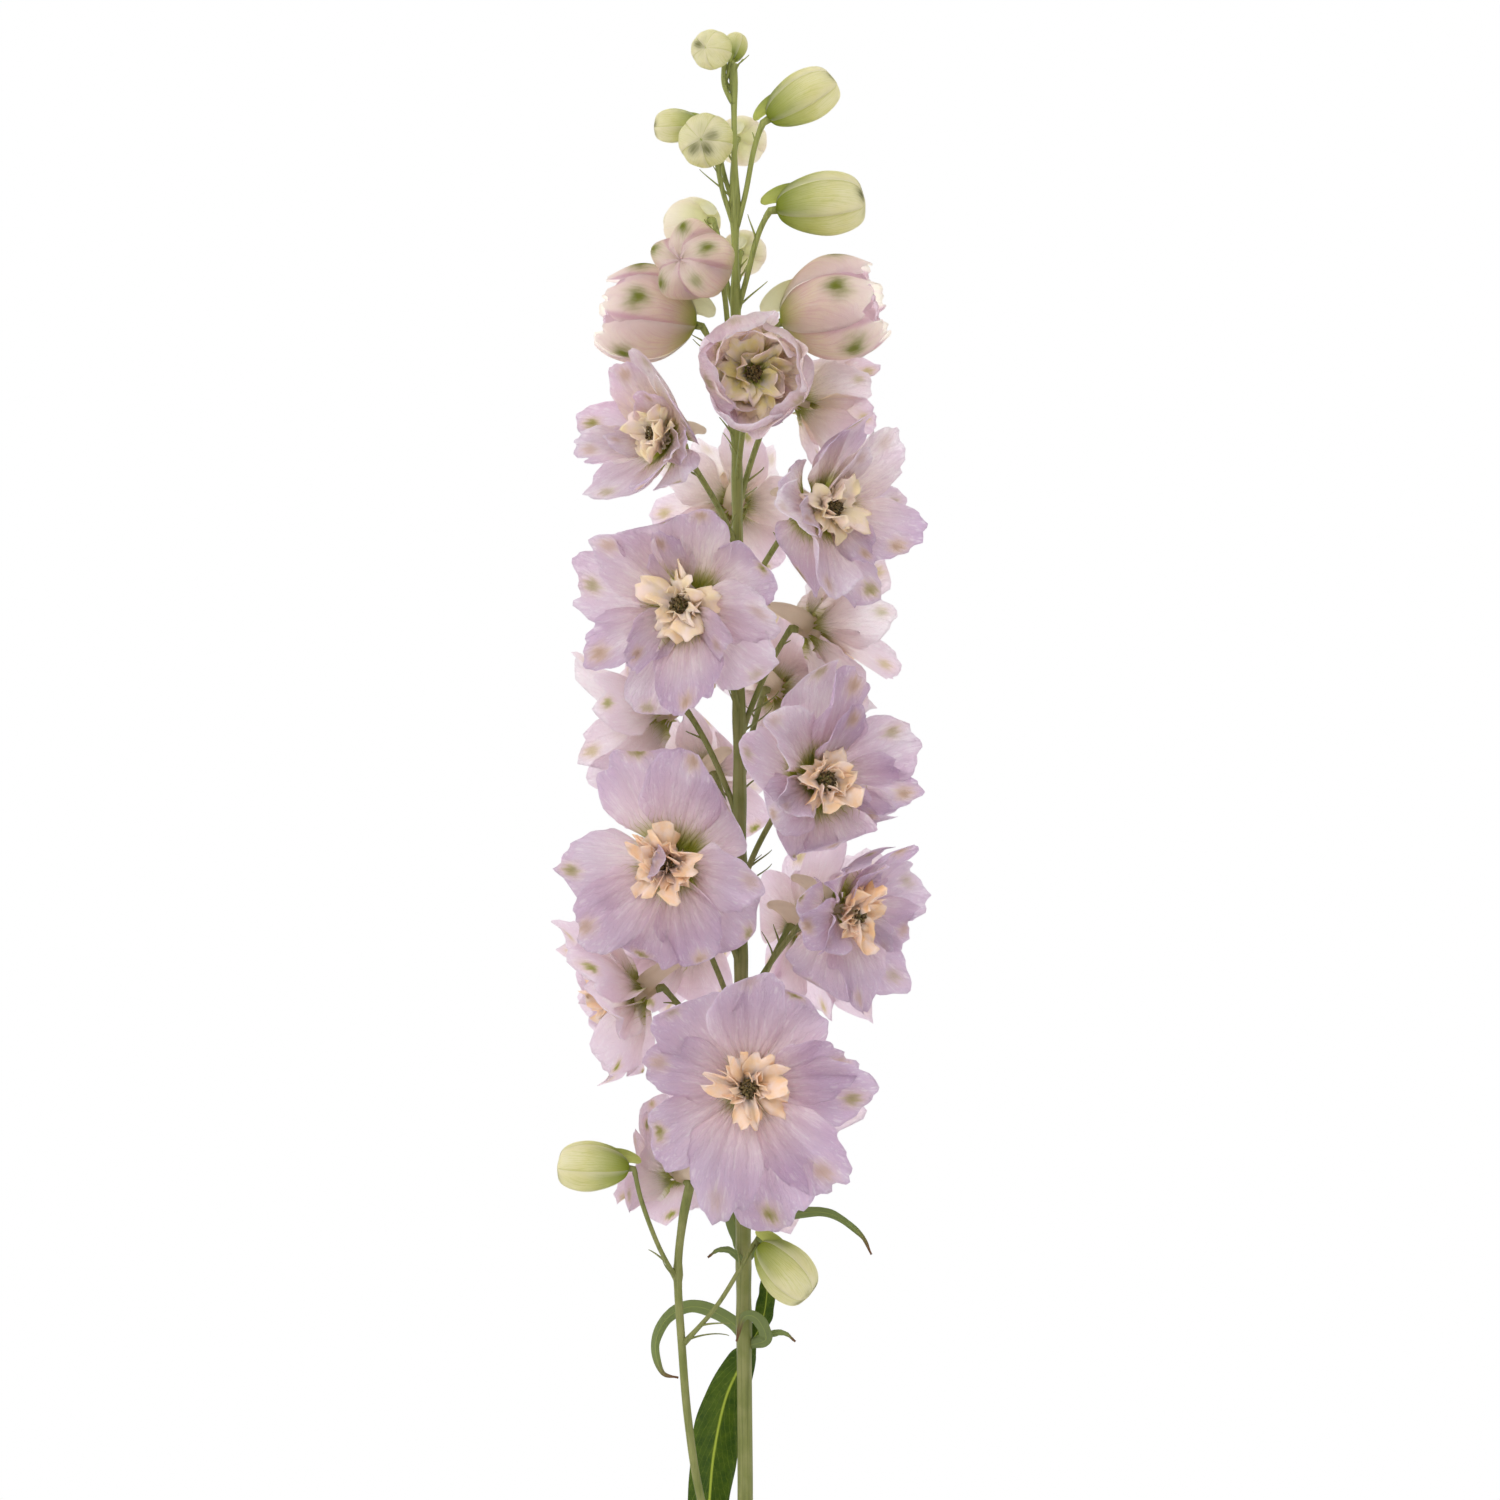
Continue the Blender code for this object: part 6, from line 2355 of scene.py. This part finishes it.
@dataclass(frozen=True)
class BudFinish(MarkedFinish):
    """A bud's sepals: pale margins, ribs along them, a dark mark near each tip and a green foot."""

    mottle: float = 190.0
    cells: float = 2600.0
    vein_count: float = 5.0
    vein_wander: float = 0.12
    mark_along: float = 0.90
    mark_long: float = 0.13
    mark_wide: float = 0.15
    body: tuple = srgb(245, 242, 210)
    other: tuple = srgb(253, 250, 236)
    edge: tuple = srgb(255, 252, 244)
    # The colour of a painted shadow along the seam, where the next sepal's edge laps over
    lap_shadow: tuple = srgb(204, 206, 136)
    # fold is the colour of a painted shade that darkens each sepal towards its sides, so that its middle
    # looks puffed out
    fold: tuple = srgb(230, 206, 224)
    mark: tuple = srgb(126, 128, 72)
    foot: tuple = srgb(190, 201, 90)
    inner: tuple = srgb(248, 236, 242)
    vein: tuple = srgb(196, 204, 112)
    spur: tuple = srgb(212, 218, 132)
    mark_from: float = 0.15
    mark_share: float = 0.75
    seam_at: float = -0.565
    seam_wide: float = 0.16
    lap_shadow_share: float = 0.45
    foot_reach: float = 0.62
    vein_share: float = 0.45
    pale_tip: float = 0.65
    painted_side_shade: float = 0.0
    # Painted sheen: paler and greener streaks read from the satin value stand in for the sepals' silky
    # highlights
    painted_sheen_edge: tuple = (0.52, 0.34, 0.0, 0.6)
    painted_sheen_vein: tuple = (0.50, 0.68, 0.0, 0.4)
    foot_full: float = 0.04
    foot_share: float = 0.95
    mark_full: float = 0.95
    tip_along: tuple = (0.40, 0.95)
    painted_side_shade_across: tuple = (0.30, 0.95)
    sepal_rings: tuple = (0.6, 0.3)
    petal_rings: tuple = ((0.4, 0.9), (1.6, 1.2))
    spur_rings: tuple = (1.6, 1.9, 0.0, 0.8)
    lap_shadow_along: tuple = (0.15, 0.75, 0.25, 1.0)
    lap_across: tuple = (0.50, 0.98, 0.0, 0.80)
    halo_share: float = 0.45
    core_share: float = 0.55
    satin_relief: float = 3.0
    vein_relief: float = 1.5

    def build(self, groups: Groups) -> bpy.types.Material:
        """The material: painted sheen streaks and veins, foot and tip, painted shade at the sides, a painted
        shadow along the seam, the lapped edges, then the mark and the other rings.

        Args:
            groups: The shared shader groups.

        Returns:
            The material.
        """
        made, net, place, form, shade = self.start()
        whorl, chance, across = net.parts(shade)
        along = net.parts(form)[1]
        skin, cells = self.skin(net, groups, place, self.body, self.other)
        veins, satin = self.veined(net, groups, form)
        coat = Coat(net, skin)
        # Painted sheen: pale and green streaks over the satin stand in for silky highlights
        coat.over(net.ease(satin, *self.painted_sheen_edge), self.edge)
        coat.over(net.ease(satin, *self.painted_sheen_vein), self.vein)
        coat.over(net.times(veins, self.vein_share), self.vein)
        coat.over(net.ease(along, self.foot_reach, self.foot_full, 0.0, self.foot_share), self.foot)
        coat.over(net.ease(along, *self.tip_along, 0.0, self.pale_tip), self.edge)
        sideways = net.math("ABSOLUTE", across)
        # Painted shade: each sepal turns violet-pink towards its sides, so that its middle looks puffed out
        coat.over(net.ease(sideways, *self.painted_side_shade_across, 0.0, self.painted_side_shade), self.fold)
        is_sepal = net.ease(whorl, *self.sepal_rings)
        # Painted shadow: a darker line along the seam where the next sepal laps over, stronger towards the
        # tip
        lap_shadow = net.ease(net.off(across, self.seam_at), self.seam_wide, 0.0, 0.0, self.lap_shadow_share)
        tipward = net.ease(along, *self.lap_shadow_along)
        coat.over(net.times(net.times(lap_shadow, tipward), is_sepal), self.lap_shadow)
        coat.over(net.ease(across, *self.lap_across), self.edge)
        halo, core = self.marked(net, groups, form, chance)
        mark = net.plus(net.times(halo, self.halo_share), net.times(core, self.core_share))
        uneven = net.ease(chance, self.mark_from, self.mark_full, 0.0, self.mark_share)
        coat.over(net.times(mark, uneven), self.mark)
        coat.over(net.between(whorl, *self.petal_rings), self.inner)
        coat.over(net.ease(whorl, *self.spur_rings), self.spur)
        relief = net.plus(net.times(veins, self.vein_relief), net.times(satin, self.satin_relief))
        self.close(net, coat.colour, net.plus(cells, relief))
        return made


@dataclass(frozen=True)
class GreenFinish(PlantFinish):
    """Stems and stalks: olive green, streaked along and paler high on the spike."""

    mottle: float = 120.0
    cells: float = 2200.0
    green: tuple = srgb(124, 130, 66)
    other: tuple = srgb(148, 148, 92)
    streak: tuple = srgb(94, 102, 46)
    young: tuple = srgb(178, 184, 104)
    young_z: tuple = (0.40, 0.58, 0.0, 0.75)
    streak_scale: Triple = (1600.0, 1600.0, 40.0)
    streak_detail: float = 3.0
    streak_step: tuple = (0.45, 0.75, 0.0, 0.6)

    def build(self, groups: Groups) -> bpy.types.Material:
        """The material.

        Args:
            groups: The shared shader groups.

        Returns:
            The material.
        """
        made, net, place, _, _ = self.start()
        skin, cells = self.skin(net, groups, place, self.green, self.other)
        streaks = net.noise(net.scaled(place, self.streak_scale), 1.0, self.streak_detail)
        coat = Coat(net, skin)
        coat.over(net.ease(net.parts(place)[2], *self.young_z), self.young)
        coat.over(net.ease(streaks, *self.streak_step), self.streak)
        self.close(net, coat.colour, net.plus(cells, streaks))
        return made


@dataclass(frozen=True)
class LeafFinish(PlantFinish):
    """Leaf and bracts: a deep green blade with bright veins, and greyer bracts that dry at their tips."""

    cells: float = 1800.0
    blade: tuple = srgb(96, 120, 28)
    dark: tuple = srgb(68, 97, 20)
    vein: tuple = srgb(206, 216, 96)
    grey: tuple = srgb(164, 174, 122)
    dry: tuple = srgb(140, 104, 74)
    rib: tuple = (0.035, 0.010)
    side_pace: float = 16.0
    side_slant: float = 9.0
    side_noise: float = 9.0
    side_wander: float = 0.9
    side_vein: tuple = (0.16, 0.02, 0.0, 0.28)
    mesh_scale: float = 620.0
    mesh_vein: tuple = (0.07, 0.01, 0.0, 0.07)
    bract_kinds: tuple = (0.9, 0.6)
    grey_share: float = 0.75
    dry_along: tuple = (0.72, 0.98)

    def build(self, groups: Groups) -> bpy.types.Material:
        """The material.

        Args:
            groups: The shared shader groups.

        Returns:
            The material.
        """
        made, net, place, form, shade = self.start()
        kind = net.parts(shade)[0]
        across, along, _ = net.parts(form)
        skin, _ = self.skin(net, groups, place, self.blade, self.dark)
        off = net.off(across, 0.5)
        rib = net.ease(off, *self.rib)
        lean = net.minus(net.times(along, self.side_pace), net.times(off, self.side_slant))
        bent = net.plus(lean, net.times(net.noise(form, self.side_noise), self.side_wander))
        side = net.ease(net.wave(bent), *self.side_vein)
        mesh = net.ease(net.cells(place, self.mesh_scale, "DISTANCE_TO_EDGE"), *self.mesh_vein)
        veins = net.larger(rib, net.larger(side, mesh))
        coat = Coat(net, skin)
        coat.over(veins, self.vein)
        coat.over(net.ease(kind, *self.bract_kinds, 0.0, self.grey_share), self.grey)
        dry = net.times(net.ease(along, *self.dry_along), net.ease(kind, *self.bract_kinds))
        coat.over(dry, self.dry)
        self.close(net, coat.colour, net.times(veins, -1.0))
        return made


@dataclass(frozen=True)
class ClearFinish:
    """Glass or water: clear, with a faint tint, faint smudges and a slow waviness."""

    name: str
    tint: tuple
    index: float
    smudge: float
    wave: float
    smudge_noise: Pair = (60.0, 3.0)
    smudge_step: Pair = (0.45, 0.75)
    wave_noise: Pair = (45.0, 1.0)
    wave_deep: float = 0.001

    def build(self) -> bpy.types.Material:
        """The material.

        Returns:
            The material.
        """
        made = bpy.data.materials.new(self.name)
        made.use_nodes = True
        net = Net(made.node_tree)
        made.node_tree.nodes.clear()
        place = net.add("TexCoord").outputs["Object"]
        rough = net.ease(net.noise(place, *self.smudge_noise), *self.smudge_step, 0.0, self.smudge)
        height = net.noise(place, *self.wave_noise)
        waves = {"Strength": self.wave, "Distance": self.wave_deep, "Height": height}
        bump = net.add("Bump", waves).outputs[0]
        shader = net.add("BsdfPrincipled", {"Base Color": self.tint, "Roughness": rough, "Normal": bump})
        shader.inputs["Transmission Weight"].default_value = 1.0
        shader.inputs["IOR"].default_value = self.index
        shader.inputs["Metallic"].default_value = 0.0
        net.add("OutputMaterial", {0: shader.outputs[0]})
        return made


@dataclass
class Finishes:
    """Every material of the object."""

    petal: bpy.types.Material
    rear_petal: bpy.types.Material
    bee: bpy.types.Material
    stamen: bpy.types.Material
    bud: bpy.types.Material
    opening_bud: bpy.types.Material
    pale_bud: bpy.types.Material
    green: bpy.types.Material
    leaf: bpy.types.Material
    glass: bpy.types.Material
    water: bpy.types.Material

    @classmethod
    def make(cls) -> "Finishes":
        """Builds the shared groups and each material.

        Returns:
            The finishes.
        """
        groups = Groups.make()
        lilac_bud = BudFinish(
            "lilac_bud",
            through=0.87,
            roughness=0.5,
            bump=0.25,
            body=srgb(253, 243, 237),
            other=srgb(254, 251, 232),
            edge=srgb(255, 252, 248),
            lap_shadow=srgb(222, 188, 208),
            lap_shadow_share=0.50,
            painted_side_shade=0.32,
            mark=srgb(160, 172, 84),
            foot=srgb(208, 220, 120),
            foot_reach=0.52,
            mark_along=0.74,
            mark_long=0.13,
            mark_wide=0.11,
            mark_from=-1.0,
            mark_share=1.0,
            vein=srgb(238, 212, 220),
            spur=srgb(248, 246, 222),
            vein_share=0.40,
        )
        pale_bud = replace(
            lilac_bud,
            name="pale_bud",
            through=0.90,
            painted_side_shade=0.05,
            body=srgb(254, 251, 247),
            other=srgb(254, 252, 243),
            lap_shadow=srgb(244, 239, 224),
            vein=srgb(245, 238, 236),
            mark=srgb(220, 222, 184),
            foot=srgb(247, 248, 224),
            spur=srgb(250, 249, 232),
        )
        near = PetalFinish("lilac_petal", through=0.80, roughness=0.38, bump=0.60, sheen=0.1)
        # A copy for the flowers at the back that lets more light through; its paler lilac, violet and pink
        # are painted light from behind
        rear = replace(
            near,
            name="pale_petal_painted_light",
            through=0.88,
            lilac=srgb(248, 237, 241),
            violet=srgb(239, 225, 236),
            pink=srgb(252, 242, 237),
            core=srgb(180, 188, 88),
            tan=srgb(214, 206, 150),
            throat_reach=0.04,
        )
        return cls(
            petal=near.build(groups),
            rear_petal=rear.build(groups),
            bee=BeeFinish("cream_bee", through=0.50, roughness=0.6, bump=0.3).build(groups),
            stamen=StamenFinish("dark_stamens", through=0.15, roughness=0.6, bump=0.4).build(groups),
            bud=BudFinish("green_bud", through=0.84, roughness=0.5, bump=0.25).build(groups),
            opening_bud=lilac_bud.build(groups),
            pale_bud=pale_bud.build(groups),
            green=GreenFinish("stem_green", through=0.25, roughness=0.45, bump=0.3).build(groups),
            leaf=LeafFinish("leaf_green", through=0.62, roughness=0.42, bump=0.3).build(groups),
            glass=ClearFinish("clear_glass", srgb(246, 251, 249), 1.50, 0.05, 0.02).build(),
            water=ClearFinish("clear_water", srgb(250, 253, 253), 1.333, 0.0, 0.01).build(),
        )


@dataclass(frozen=True)
class Studio:
    """A bright white ground behind the flower, softer light from the front, a pale floor and the camera."""

    lens: float = 150.0
    sensor: float = 36.0
    eye: tuple = (0.002, -1.5625, 0.4275)
    floor_r: float = 1.6
    floor_sides: int = 96
    floor_colour: tuple = srgb(240, 240, 240)
    floor_rough: float = 0.7
    behind: float = 1.28
    before: float = 0.78
    depth_y: Pair = (-0.9, 0.8)
    sides: float = 0.90
    sides_x: Pair = (0.55, 0.95)
    above: float = 0.15
    above_z: Pair = (0.2, 0.9)
    key: float = 1.4
    key_from: tuple = (-0.45, -0.72, 0.53)
    key_spread: tuple = (0.74, 0.95)

    def camera(self) -> None:
        """The camera at the photograph's angle, level and square to the spike."""
        data = bpy.data.cameras.new("camera")
        data.lens = self.lens
        data.sensor_width = self.sensor
        made = bpy.data.objects.new("camera", data)
        made.location = self.eye
        made.rotation_euler = (math.pi / 2, 0.0, 0.0)
        bpy.context.scene.collection.objects.link(made)
        bpy.context.scene.camera = made

    def floor(self) -> None:
        """A pale disc under the vase, which isn't part of the object."""
        count = self.floor_sides
        angle = np.arange(count) * TURN / count
        rim = np.stack((np.cos(angle) * self.floor_r, np.sin(angle) * self.floor_r, np.zeros(count)), axis=-1)
        mesh = bpy.data.meshes.new("floor")
        mesh.from_pydata(rim.tolist(), [], [list(range(count))])
        made = bpy.data.objects.new("floor", mesh)
        bpy.context.scene.collection.objects.link(made)
        paint = bpy.data.materials.new("pale_floor")
        paint.use_nodes = True
        shader = paint.node_tree.nodes["Principled BSDF"]
        shader.inputs["Base Color"].default_value = self.floor_colour
        shader.inputs["Roughness"].default_value = self.floor_rough
        mesh.materials.append(paint)

    def sky(self) -> None:
        """White to the camera, and as light brightest from behind.

        It is softer from above and dim in front, with a broad brighter patch high in front on the left.
        """
        world = bpy.data.worlds.new("white_ground")
        world.use_nodes = True
        world.node_tree.nodes.clear()
        net = Net(world.node_tree)
        direction = net.add("TexCoord").outputs["Generated"]
        x, y, z = net.parts(direction)
        depth = net.ease(y, *self.depth_y, self.before, self.behind)
        wing = net.ease(net.math("ABSOLUTE", x), *self.sides_x, 1.0, self.sides)
        light = net.times(depth, wing)
        light = net.plus(light, net.ease(z, *self.above_z, 0.0, self.above))
        product = net.add("VectorMath", {0: direction, 1: self.key_from}, operation="DOT_PRODUCT")
        light = net.plus(light, net.ease(product.outputs["Value"], *self.key_spread, 0.0, self.key))
        seen = net.add("LightPath").outputs["Is Camera Ray"]
        strength = net.blend_value(seen, light, 1.0)
        ground = net.add("Background", {"Color": (1.0, 1.0, 1.0, 1.0), "Strength": strength})
        net.add("OutputWorld", {0: ground.outputs[0]})
        bpy.context.scene.world = world

    def build(self) -> None:
        """Sets the studio up."""
        self.camera()
        self.floor()
        self.sky()
        bpy.context.scene.view_settings.view_transform = "Standard"


def main() -> None:
    """Builds the studio and every piece in order."""
    logging.basicConfig(level=logging.INFO, format="%(message)s")
    Studio().build()
    finishes = Finishes.make()
    for bloom in BLOOMS:
        OpenFlower(bloom).build(finishes)
    for bud in BUDS:
        ClosedFlower(bud).build(finishes)
    Greenery().build(finishes)
    VaseOfWater().build(finishes)


if __name__ == "__main__":
    main()
